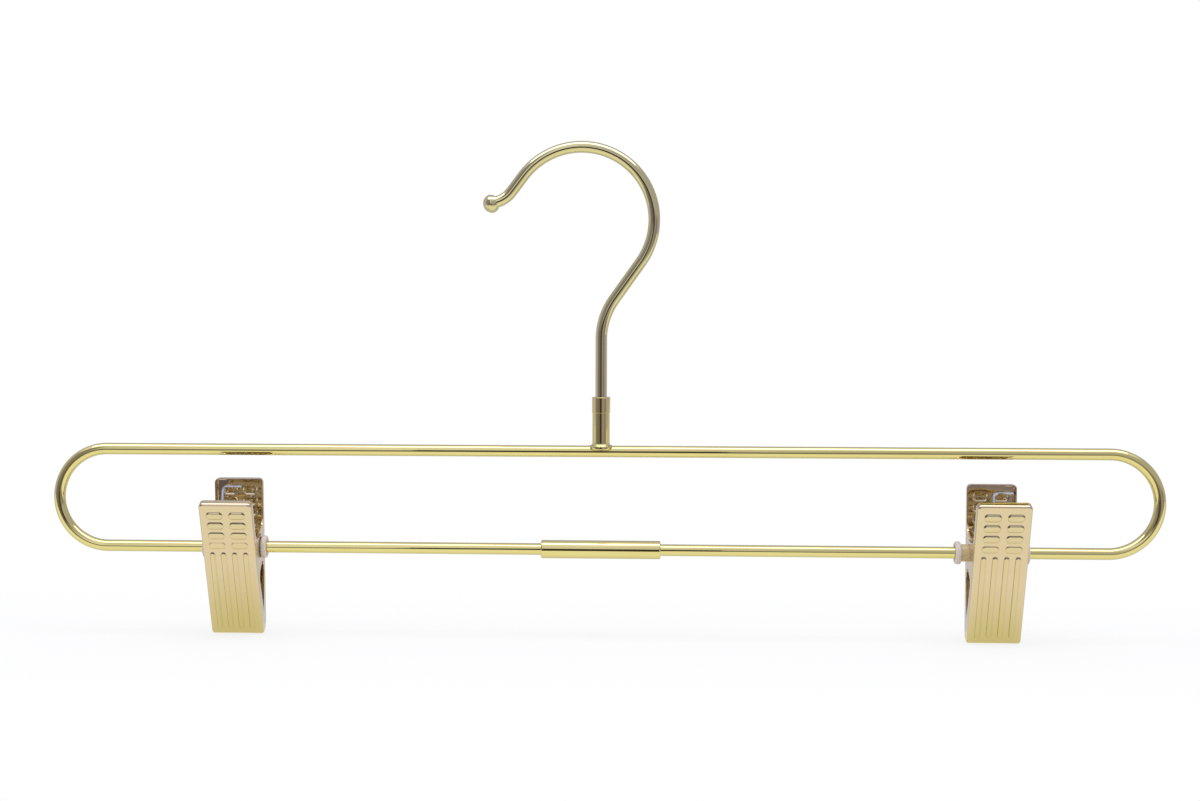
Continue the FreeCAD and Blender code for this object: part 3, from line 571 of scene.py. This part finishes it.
def free_edge(height):
    """How deep the flange reaches at a height from the pivot: straight edge, swept root, ear, grip."""
    grip = math.tan(PLATE_TILT) * height - half_grip
    if height < -EAR_ROOT:
        share = (height + EAR_ROOT) / (EAR_ROOT + GRIP_HEIGHT - JAW_DROP)
        at_grip = -math.tan(PLATE_TILT) * (JAW_DROP - GRIP_HEIGHT) - half_grip
        return min(flange_edge + (at_grip - flange_edge) * min(share, 1.0), grip)
    if height > EAR_ROOT:
        return flange_edge
    rise = abs(height)
    tangent = sweep_turn + sweep_lean - math.pi / 2
    touch = Vector((math.sin(tangent), math.cos(tangent))) * EAR_RADIUS
    if rise <= touch.y:
        return math.sqrt(EAR_RADIUS**2 - rise**2)
    root = sweep_centre - Vector((math.sin(tangent), math.cos(tangent))) * EAR_ROOT_RADIUS
    if rise <= root.y:
        share = (rise - touch.y) / (root.y - touch.y)
        return touch.x + (root.x - touch.x) * share
    drop = sweep_centre.y - rise
    return sweep_centre.x - math.sqrt(max(EAR_ROOT_RADIUS**2 - drop**2, 0.0))


def rib_painted_shade(facing):
    """Painted shade: dark corners at both ends of a rib's upper wall, and a fine dark line along its foot.
    """
    return RIB_END_SHADE * max(facing.y, 0.0) * abs(facing.x) + RIB_FOOT_SHADE * max(-facing.y, 0.0)


def flute_painted_shade(facing):
    """Painted shade: a dark line down a flute's crisp side, a fainter one down the other, and a dark spot
    at its top.
    """
    sides = max(-facing.x, 0.0) + FLUTE_FAR_SHARE * max(facing.x, 0.0)
    return FLUTE_SIDE_SHADE * sides + FLUTE_TOP_SHADE * max(facing.y, 0.0)


def pressing(jaw, width):
    """A jaw's ribs and flutes as round-ended slots: ends, half width, rise, crisp side, walls, painted
    shade.
    """
    slots = []
    rib = (width - 2 * RIB_SIDE_MARGIN - RIB_COLUMN_GAP) / 2
    for row, rise in enumerate(RIB_RISES[jaw]):
        height = HANDLE_RISE - RIB_FIRST - RIB_PITCH * row
        for side in (-1, 1):
            near = side * (RIB_COLUMN_GAP + RIB_HEIGHT) / 2
            far = side * (RIB_COLUMN_GAP / 2 + rib - RIB_HEIGHT / 2)
            ends = Vector((near, height)), Vector((far, height))
            walls = Vector((0, -1)), RIB_CRISP_WALL, RIB_SOFT_WALL
            slots.append((*ends, RIB_HEIGHT / 2, rise, *walls, rib_painted_shade))
    for flute in range(FLUTES):
        across = (width - 2 * FLUTE_SIDE_MARGIN) * (flute / (FLUTES - 1) - 0.5)
        top = HANDLE_RISE - FLUTE_TOP - FLUTE_WIDTH / 2
        foot = FLUTE_FOOT + FLUTE_WIDTH / 2 - JAW_DROP
        ends = Vector((across, foot)), Vector((across, top))
        walls = Vector((-1, 0)), FLUTE_CRISP_WALL, FLUTE_SOFT_WALL
        slots.append((*ends, FLUTE_WIDTH / 2, FLUTE_RISE, *walls, flute_painted_shade))
    return slots


def pressed_out(spot, slots):
    """How far a slot stands out at a spot, its share of the full rise and the painted shade in its wall."""
    for start, end, half, rise, crisp_side, crisp_wall, soft_wall, painted_shade in slots:
        run = end - start
        share = min(max((spot - start).dot(run) / run.length_squared, 0.0), 1.0)
        aside = spot - start - run * share
        inside = half - aside.length
        if inside > 0.0:
            facing = aside / max(aside.length, 1e-9)
            turn = (1.0 - facing.dot(crisp_side)) / 2
            climb = min(inside / (crisp_wall + (soft_wall - crisp_wall) * turn), 1.0)
            share = climb * climb * (3.0 - 2.0 * climb)
            return rise * share, share, 4.0 * share * (1.0 - share) * min(painted_shade(facing), 1.0)
    return 0.0, 0.0, 0.0


def round_corner(spot, half):
    """Draw the square corners at the handle's end in to a round, so that the bends run on through them."""
    aside, above = abs(spot.x) - half + CORNER, spot.z - HANDLE_RISE + CORNER
    if aside > 0.0 and above > 0.0:
        inward = max(aside, above) / math.hypot(aside, above)
        spot.x = math.copysign(half - CORNER + aside * inward, spot.x)
        spot.z = HANDLE_RISE - CORNER + above * inward


def long_edges(bm, axis, least, straight=0.999):
    """Edges over a least length that run along an axis."""
    return [
        edge
        for edge in bm.edges
        if edge.calc_length() > least
        and abs((edge.verts[1].co - edge.verts[0].co).normalized().dot(axis)) > straight
    ]


def stamped_jaw(jaw, width):
    """One jaw in its own frame: the pivot at the origin, its plate upright and facing -Y."""
    bm = bmesh.new()
    reach = -half_grip - math.tan(PLATE_TILT) * JAW_DROP
    size = Vector((width, reach + PLATE_OFFSET, HANDLE_RISE + JAW_DROP))
    middle = Vector((0, (reach - PLATE_OFFSET) / 2, (HANDLE_RISE - JAW_DROP) / 2))
    bmesh.ops.create_cube(bm, size=1.0, matrix=Matrix.Translation(middle) @ Matrix.Diagonal((*size, 1)))
    bmesh.ops.delete(bm, geom=[face for face in bm.faces if face.normal.y > 0.5], context="FACES_ONLY")
    toe = [
        edge
        for edge in bm.edges
        if all(vert.co.y < middle.y and vert.co.z < middle.z for vert in edge.verts)
    ]
    round_edges(bm, toe, TOE, TOE_STEPS)
    folds = [edge for edge in bm.edges if len(edge.link_faces) == 2 and edge.calc_face_angle() > FOLD_ANGLE]
    corners = [
        edge
        for edge in long_edges(bm, DEEP, BEND)
        if all(vert.co.z > HANDLE_RISE - BEND for vert in edge.verts)
    ]
    round_edges(bm, [edge for edge in folds if edge not in corners], BEND, BEND_STEPS)
    for axis, run, grain in ((ALONG, width, GRAIN_ACROSS), (UP, size.z, GRAIN_DOWN)):
        cuts = round((run - 2 * BEND) / grain)
        bmesh.ops.subdivide_edges(bm, edges=long_edges(bm, axis, run / 2), cuts=cuts, use_grid_fill=True)
    across_flange = long_edges(bm, DEEP, BEND, FLANGE_SLANT)
    bmesh.ops.subdivide_edges(bm, edges=across_flange, cuts=FLANGE_CUTS, use_grid_fill=True)
    slots = pressing(jaw, width)
    # Each vertex keeps its share of the rise and the strength of its painted shade for the material.
    crown, painted_shade = (bm.verts.layers.float.new(name) for name in ("crown", "painted_shade"))
    for vert in bm.verts:
        round_corner(vert.co, width / 2)
        if vert.co.y < CLOSE_BY - PLATE_OFFSET:
            rise, vert[crown], vert[painted_shade] = pressed_out(vert.co.xz, slots)
            vert.co.y -= rise
            continue
        start = (TOE if vert.co.z < CLOSE_BY - JAW_DROP else BEND) - PLATE_OFFSET
        if vert.co.y > start:
            share = (vert.co.y - start) / (reach - start)
            vert.co.y = start + share * (free_edge(vert.co.z) - start)
    inside = [
        face
        for face in bm.faces
        if abs(face.normal.x) > 0.9 and face.calc_center_median().yz.length < EAR_HOLE
    ]
    bmesh.ops.delete(bm, geom=inside, context="FACES")
    for vert in bm.verts:
        around = vert.co.yz
        if vert.is_boundary and around.length < EAR_HOLE + SHEET:
            vert.co.yz = around.normalized() * EAR_HOLE
    bmesh.ops.recalc_face_normals(bm, faces=bm.faces)
    return bm


gold_sheet = plated_metal(
    "gold sheet",
    pale=(0.755, 0.62, 0.365, 1),
    deep=(0.715, 0.58, 0.335, 1),
    smooth=0.03,
    cloudy=0.07,
    ripple_depth=SHEET_RIPPLE,
    tone_scale=45.0,
    ripple_scale=120.0,
)
tree = gold_sheet.node_tree
crown, painted_shade = (
    node(tree, "ShaderNodeAttribute", attribute_name=name).outputs["Fac"] for name in ("crown", "painted_shade")
)
# Painted reflection: the raised crowns are tinted yellower by their share of the rise.
crown_painted_reflection = mixed(tree, crown, tree.nodes["finish"].outputs["Color"], CROWN_PAINTED_REFLECTION_TINT, "MULTIPLY")
# Painted shade: the slot walls are darkened towards a dark brown by the attribute the jaws carry.
with_painted_shade = mixed(tree, painted_shade, crown_painted_reflection, PAINTED_SHADE_TONE)
tree.links.new(with_painted_shade, tree.nodes["metal"].inputs["Base Color"])
for jaw, width, face_turn, lean in (
    ("front", FRONT_WIDTH, 0.0, PLATE_TILT),
    ("back", BACK_WIDTH, math.pi, -PLATE_TILT),
):
    blank = stamped_jaw(jaw, width)
    for clip in ("left", "right"):
        bm = blank.copy()
        place = (
            Matrix.Translation(joint_place[f"{clip}_clip_open"])
            @ Matrix.Rotation(CLIP_SWING[clip] + lean, 4, "X")
            @ Matrix.Rotation(face_turn, 4, "Z")
        )
        bmesh.ops.transform(bm, matrix=place, verts=bm.verts)
        jaw_name, jaw_body = f"{clip}_{jaw}_stamping", f"{clip}_{jaw}"
        stamping = add_piece(jaw_name, bm, gold_sheet, jaw_body, JAW_SHARP_ANGLE)
        wall = stamping.modifiers.new("sheet", "SOLIDIFY")
        wall.thickness, wall.offset = SHEET, -1.0
        edge = stamping.modifiers.new("cut edge", "BEVEL")
        edge.width, edge.segments = CUT_EDGE, 2
        edge.limit_method, edge.angle_limit = "ANGLE", math.radians(JAW_SHARP_ANGLE)
        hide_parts(f"{clip}_{jaw}_jaw")
    blank.free()


# Each spring is wound from bright drawn wire round the bushes. Its two legs lie against the insides
# of the handles, and each ends in a foot that is bent across under the ribs.
SPRING_RADIUS = 0.6 * MM
SPRING_SIDES = 20
COIL_GAP = 0.2 * MM
COIL_PITCH = 1.72 * MM
COIL_FULL_TURNS = 3
COIL_STEP = math.radians(9)
FOOT_LENGTH = 7.1 * MM
FOOT_DROP = 3.3 * MM
FOOT_BEND, FOOT_BEND_STEPS = 1.8 * MM, 10
LEFT_LEG_GAP, RIGHT_FOOT_GAP = 1.35 * MM, 0.35 * MM
SPRING_PLATE_GAP = 0.12 * MM
SPRING_RIPPLE = 0.01 * MM
coil_radius = BUSH_BARREL + COIL_GAP + SPRING_RADIUS
foot_seat = PLATE_OFFSET - SHEET - SPRING_PLATE_GAP - SPRING_RADIUS
foot_rise = HANDLE_RISE - FOOT_DROP
foot_deep = foot_seat * math.cos(PLATE_TILT) + foot_rise * math.sin(PLATE_TILT)
foot_high = foot_rise * math.cos(PLATE_TILT) - foot_seat * math.sin(PLATE_TILT)
leg_lean = math.atan2(foot_deep, foot_high) - math.asin(coil_radius / math.hypot(foot_deep, foot_high))
coil_sweep = math.pi - 2 * leg_lean + 2 * math.pi * COIL_FULL_TURNS
coil_length = COIL_PITCH * coil_sweep / (2 * math.pi)
half_tray = BACK_WIDTH / 2 - SHEET
leg_place = {
    "left": LEFT_LEG_GAP + SPRING_RADIUS - half_tray,
    "right": half_tray - RIGHT_FOOT_GAP - FOOT_LENGTH,
}
coil_start = Vector((0, math.cos(leg_lean), -math.sin(leg_lean))) * coil_radius
leg_way = Vector((0, -math.sin(leg_lean), -math.cos(leg_lean)))
corner = Vector((0, foot_deep, foot_high))

spring_steel = plated_metal(
    "spring steel",
    pale=(0.80, 0.82, 0.86, 1),
    deep=(0.66, 0.68, 0.72, 1),
    smooth=0.04,
    cloudy=0.1,
    ripple_depth=SPRING_RIPPLE,
)


def spring_coil():
    """The turns round the pivot, from the back leg to the front one."""
    bm = bmesh.new()
    section = ring(bm, coil_start, leg_way, SPRING_RADIUS, SPRING_SIDES)
    close_end(bm, section)
    steps = round(coil_sweep / COIL_STEP)
    close_end(bm, bend_on(bm, section, Vector(), ALONG, -coil_sweep, steps, coil_length))
    return bm


def spring_leg():
    """One leg with its foot, from the foot's end down to the coil."""
    bm = bmesh.new()
    section = ring(bm, corner + ALONG * FOOT_LENGTH, -ALONG, SPRING_RADIUS, SPRING_SIDES)
    close_end(bm, section)
    section = draw_on(bm, section, ALONG * (FOOT_BEND - FOOT_LENGTH))
    turn_centre = corner + (ALONG + leg_way) * FOOT_BEND
    section = bend_on(bm, section, turn_centre, leg_way.cross(ALONG), math.pi / 2, FOOT_BEND_STEPS)
    section = draw_on(bm, section, coil_start - corner - leg_way * FOOT_BEND)
    close_end(bm, section)
    return bm


for clip in ("left", "right"):
    pivot = joint_place[f"{clip}_clip_open"]
    swung = Matrix.Translation(pivot) @ Matrix.Rotation(CLIP_SWING[clip], 4, "X")
    at_leg = swung @ Matrix.Translation(ALONG * leg_place[clip])
    at_coil_end = swung @ Matrix.Translation(ALONG * (leg_place[clip] + coil_length))
    turned = at_coil_end @ Matrix.Rotation(math.pi, 4, "Z")
    bm = spring_coil()
    bmesh.ops.transform(bm, matrix=at_leg, verts=bm.verts)
    coil = add_piece(f"{clip}_spring_coil", bm, spring_steel, None)
    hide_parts(f"{clip}_spring")
    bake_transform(coil)
    for jaw, place in (("back", at_leg), ("front", turned)):
        bm = spring_leg()
        bmesh.ops.transform(bm, matrix=place, verts=bm.verts)
        add_piece(f"{clip}_spring_{jaw}_leg", bm, spring_steel, f"{clip}_{jaw}")


# The floor is a white sweep that ends 15 cm in front of the hanger, which stands on the toes of its
# clips. To the metal it shows painted shade behind the hanger, and painted shade with painted gold
# light round the clips.
FLOOR_FRONT, FLOOR_BACK, FLOOR_SIDE = -0.15, 0.9, 0.9
FLOOR_GAP = 0.1 * MM
FLOOR_SHARE = 0.8
FADE_START, FADE_END = 0.02, 0.11
BEHIND_START, BEHIND_END = -0.015, 0.03
CLIP_NEAR, CLIP_FAR = 0.006, 0.03
WHITE, PAPER = (1, 1, 1, 1), (0.92, 0.92, 0.92, 1)
# Seen only in reflections: painted shade behind the hanger, and painted shade with painted gold light round
# the clips.
FLOOR_PAINTED_SHADE_BEHIND = (0.64, 0.64, 0.68, 1)
FLOOR_PAINTED_SHADE_AND_GOLD_LIGHT = (0.85, 0.86, 0.56, 1)
floor_top = cad_low.z - FLOOR_GAP


def studio_sheet(name, place, width, height, material):
    """A flat sheet of the studio, which is no piece of the hanger."""
    bm = bmesh.new()
    size = Matrix.Diagonal((width, height, 1, 1))
    bmesh.ops.create_grid(bm, x_segments=1, y_segments=1, size=0.5, matrix=place @ size)
    mesh = bpy.data.meshes.new(name)
    bm.to_mesh(mesh)
    bm.free()
    mesh.materials.append(material)
    sheet = bpy.data.objects.new(name, mesh)
    bpy.context.scene.collection.objects.link(sheet)
    return sheet


def seen_ray(tree):
    """1 for rays from the camera, from gloss and through clear plastic, 0 for the rest."""
    path = node(tree, "ShaderNodeLightPath").outputs
    shown = maths(tree, "MAXIMUM", path["Is Camera Ray"], path["Is Glossy Ray"])
    return maths(tree, "MAXIMUM", shown, path["Is Transmission Ray"])


def mixed_shader(tree, share, first, second):
    """One shader passing to another by a share."""
    inputs = {0: share, 1: first.outputs[0], 2: second.outputs[0]}
    return node(tree, "ShaderNodeMixShader", inputs=inputs)


white_floor, tree = bare_material("white floor")
spot = node(tree, "ShaderNodeTexCoord").outputs["Object"]
along, deep, _ = node(tree, "ShaderNodeSeparateXYZ", inputs={0: spot}).outputs
past_end = maths(tree, "SUBTRACT", maths(tree, "ABSOLUTE", along), cad_high.x)
away = maths(tree, "MAXIMUM", maths(tree, "ABSOLUTE", deep), past_end)
plain = ranged(tree, away, FADE_START, FADE_END, FLOOR_SHARE, 1.0, "SMOOTHSTEP")
behind = ranged(tree, deep, BEHIND_START, BEHIND_END)
to_left, to_right = (
    vector_maths(tree, "DISTANCE", spot, (joint_place[name].x, 0, floor_top), "Value")
    for name in ("left_clip_open", "right_clip_open")
)
near = ranged(tree, maths(tree, "MINIMUM", to_left, to_right), CLIP_NEAR, CLIP_FAR, 1.0, 0.0)
# Painted shade and painted gold light, which only glossy rays see on the floor.
painted_by_clip = mixed(tree, near, mixed(tree, behind, WHITE, FLOOR_PAINTED_SHADE_BEHIND), FLOOR_PAINTED_SHADE_AND_GOLD_LIGHT)
in_gloss = node(tree, "ShaderNodeLightPath").outputs["Is Glossy Ray"]
level = mixed(tree, in_gloss, WHITE, painted_by_clip)
paper = node(tree, "ShaderNodeBsdfDiffuse", inputs={"Color": PAPER})
glow = node(tree, "ShaderNodeEmission", inputs={"Color": level, "Strength": 1.0})
surface = mixed_shader(tree, maths(tree, "MULTIPLY", seen_ray(tree), plain), paper, glow)
node(tree, "ShaderNodeOutputMaterial", inputs={"Surface": surface.outputs[0]})
floor_middle = Matrix.Translation((0, (FLOOR_FRONT + FLOOR_BACK) / 2, floor_top))
studio_sheet("floor", floor_middle, 2 * FLOOR_SIDE, FLOOR_BACK - FLOOR_FRONT, white_floor)


# The room is white to the camera. The metal sees it by bearing and height: pale behind the hanger,
# darker at the sides and darkest towards the camera, with a bright patch above that and a bright ceiling.
AMBIENT = 0.7
COOL = 1.3
HORIZON_GREEN = 0.92
HORIZON_LEFT = [(-180, 0.8), (-160, 0.75), (-135, 0.62), (-118, 0.6), (-98, 0.66), (-79, 0.54)]
HORIZON_FRONT_LEFT = [(-63, 0.28), (-47, 0.22), (-33, 0.23), (-19, 0.18), (-9, 0.12)]
HORIZON_FRONT_RIGHT = [(4, 0.13), (12, 0.3), (24, 0.4), (36, 0.38), (46, 0.26), (60, 0.3)]
HORIZON_RIGHT = [(74, 0.5), (112, 0.54), (135, 0.6), (160, 0.75), (180, 0.8)]
WALLS_LEFT = [(-180, 0.4), (-135, 0.5), (-95, 0.6), (-65, 0.3), (-25, 0.25), (-15, 0.85)]
WALLS_RIGHT = [(-9, 0.92), (0, 0.75), (9, 0.53), (60, 0.5), (135, 0.5), (180, 0.4)]
CEILING_FRONT, CEILING_BACK = (0.92, 0.92, 0.92 * COOL, 1), (0.6, 0.6, 0.6 * COOL, 1)
GROUND = (0.95, 0.95, 0.9, 1)
GROUND_TO_HORIZON, HORIZON_TO_WALLS, WALLS_TO_CEILING = (-30, -12), (1, 5), (38, 48)
CEILING_FRONT_TO_BACK = (-5, 35)
world = bpy.data.worlds.new("studio")
bpy.context.scene.world = world
world.use_nodes = True
room_tree = world.node_tree
room_tree.nodes.clear()
ray = node(room_tree, "ShaderNodeTexCoord").outputs["Generated"]
look = node(room_tree, "ShaderNodeSeparateXYZ", inputs={0: ray}).outputs


def round_about(stops, green=1.0):
    """Levels of the room by the bearing in degrees, with 0 towards the camera and +90 to the right."""
    toward = maths(room_tree, "MULTIPLY", look["Y"], -1.0)
    bearing = maths(room_tree, "ARCTAN2", look["X"], toward)
    part = ranged(room_tree, bearing, -math.pi, math.pi)
    ramp = node(room_tree, "ShaderNodeValToRGB", inputs={0: part})
    points = ramp.color_ramp.elements
    while len(points) < len(stops):
        points.new(0.5)
    for point, (degrees, level) in zip(points, stops):
        point.position = (degrees + 180) / 360
        point.color = (level, level * green, level * COOL, 1)
    return ramp.outputs["Color"]


def from_to(way, low, high, before, after):
    """Pass from one picture of the room to another between two angles off an axis's level, in degrees."""
    start, end = (math.sin(math.radians(angle)) for angle in (low, high))
    return mixed(room_tree, ranged(room_tree, look[way], start, end, curve="SMOOTHSTEP"), before, after)


def background(colour, strength=1.0):
    return node(room_tree, "ShaderNodeBackground", inputs={"Color": colour, "Strength": strength})


horizon_stops = HORIZON_LEFT + HORIZON_FRONT_LEFT + HORIZON_FRONT_RIGHT + HORIZON_RIGHT
horizon = round_about(horizon_stops, HORIZON_GREEN)
walls = round_about(WALLS_LEFT + WALLS_RIGHT)
ceiling = from_to("Y", *CEILING_FRONT_TO_BACK, CEILING_FRONT, CEILING_BACK)
low_room = from_to("Z", *GROUND_TO_HORIZON, GROUND, horizon)
mid_room = from_to("Z", *HORIZON_TO_WALLS, low_room, walls)
room = from_to("Z", *WALLS_TO_CEILING, mid_room, ceiling)
in_metal = mixed_shader(room_tree, seen_ray(room_tree), background(WHITE, AMBIENT), background(room))
camera_ray = node(room_tree, "ShaderNodeLightPath").outputs["Is Camera Ray"]
seen = mixed_shader(room_tree, camera_ray, in_metal, background(WHITE))
node(room_tree, "ShaderNodeOutputWorld", inputs={"Surface": seen.outputs[0]})


# A dark card stands behind the camera, where only reflections see it.
# It gives the bright metal that faces the camera its dark lines.
CARD_LEFT, CARD_RIGHT, CARD_FOOT, CARD_TOP, CARD_DEEP = -0.15, 0.08, -0.26, 0.04, -0.72
CARD_TINT, CARD_LEVEL = (1.0, 0.85, 0.9, 1), 0.08
CARD_NOISE_SCALE = 14.0
dark_card, tree = bare_material("dark card")
cloth = noise(tree, node(tree, "ShaderNodeTexCoord").outputs["Object"], CARD_NOISE_SCALE)
level = ranged(tree, cloth, 0.0, 1.0, 0.0, CARD_LEVEL)
glow = node(tree, "ShaderNodeEmission", inputs={"Color": CARD_TINT, "Strength": level})
node(tree, "ShaderNodeOutputMaterial", inputs={"Surface": glow.outputs[0]})
card_middle = Matrix.Translation(((CARD_LEFT + CARD_RIGHT) / 2, CARD_DEEP, (CARD_FOOT + CARD_TOP) / 2))
card_place = card_middle @ Matrix.Rotation(math.pi / 2, 4, "X")
card = studio_sheet("dark card", card_place, CARD_RIGHT - CARD_LEFT, CARD_TOP - CARD_FOOT, dark_card)
card.visible_camera = card.visible_diffuse = card.visible_shadow = card.visible_transmission = False


# One wide softbox hangs over the hanger, a little towards the camera.
# Its light is slightly cool, and it points at the lower bar.
SOFTBOX_WIDTH, SOFTBOX_DEPTH = 1.6, 0.42
SOFTBOX_POWER = 5.0
SOFTBOX_TINT = (1.0, 1.0, 1.25)
SOFTBOX_PLACE = Vector((0.0, -0.17, 0.87))
softbox = bpy.data.lights.new("softbox", "AREA")
softbox.shape = "RECTANGLE"
softbox.size, softbox.size_y = SOFTBOX_WIDTH, SOFTBOX_DEPTH
softbox.energy = SOFTBOX_POWER
softbox.color = SOFTBOX_TINT
lamp = bpy.data.objects.new("softbox", softbox)
lamp.location = SOFTBOX_PLACE
lamp.rotation_euler = (Vector((0, 0, lower_bar)) - SOFTBOX_PLACE).to_track_quat("-Z", "Y").to_euler()
bpy.context.scene.collection.objects.link(lamp)


# The camera stands as far off, as high and as much to one side as the photograph's keystone shows.
# Its lens is shifted, because the photograph's optical centre isn't in the middle of the picture.
PHOTO_WIDTH, PHOTO_HEIGHT = 1200, 801
FOCAL_PIXELS = 1943.4
OPTICAL_CENTRE_X, OPTICAL_CENTRE_Y = 514.2, 400.0
CAMERA_PLACE = (10.35 * MM, -696.17 * MM, -36.31 * MM)
CAMERA_DIP, CAMERA_TURN = 4.17, 3.42
lens = bpy.data.cameras.new("camera")
lens.sensor_fit = "HORIZONTAL"
lens.lens = lens.sensor_width * FOCAL_PIXELS / PHOTO_WIDTH
lens.shift_x = 0.5 - OPTICAL_CENTRE_X / PHOTO_WIDTH
lens.shift_y = (OPTICAL_CENTRE_Y - PHOTO_HEIGHT / 2) / PHOTO_WIDTH
camera = bpy.data.objects.new("camera", lens)
camera.location = CAMERA_PLACE
camera.rotation_euler = (math.radians(90 - CAMERA_DIP), 0, math.radians(CAMERA_TURN))
bpy.context.scene.collection.objects.link(camera)
bpy.context.scene.camera = camera
bpy.context.scene.view_settings.view_transform = "Standard"
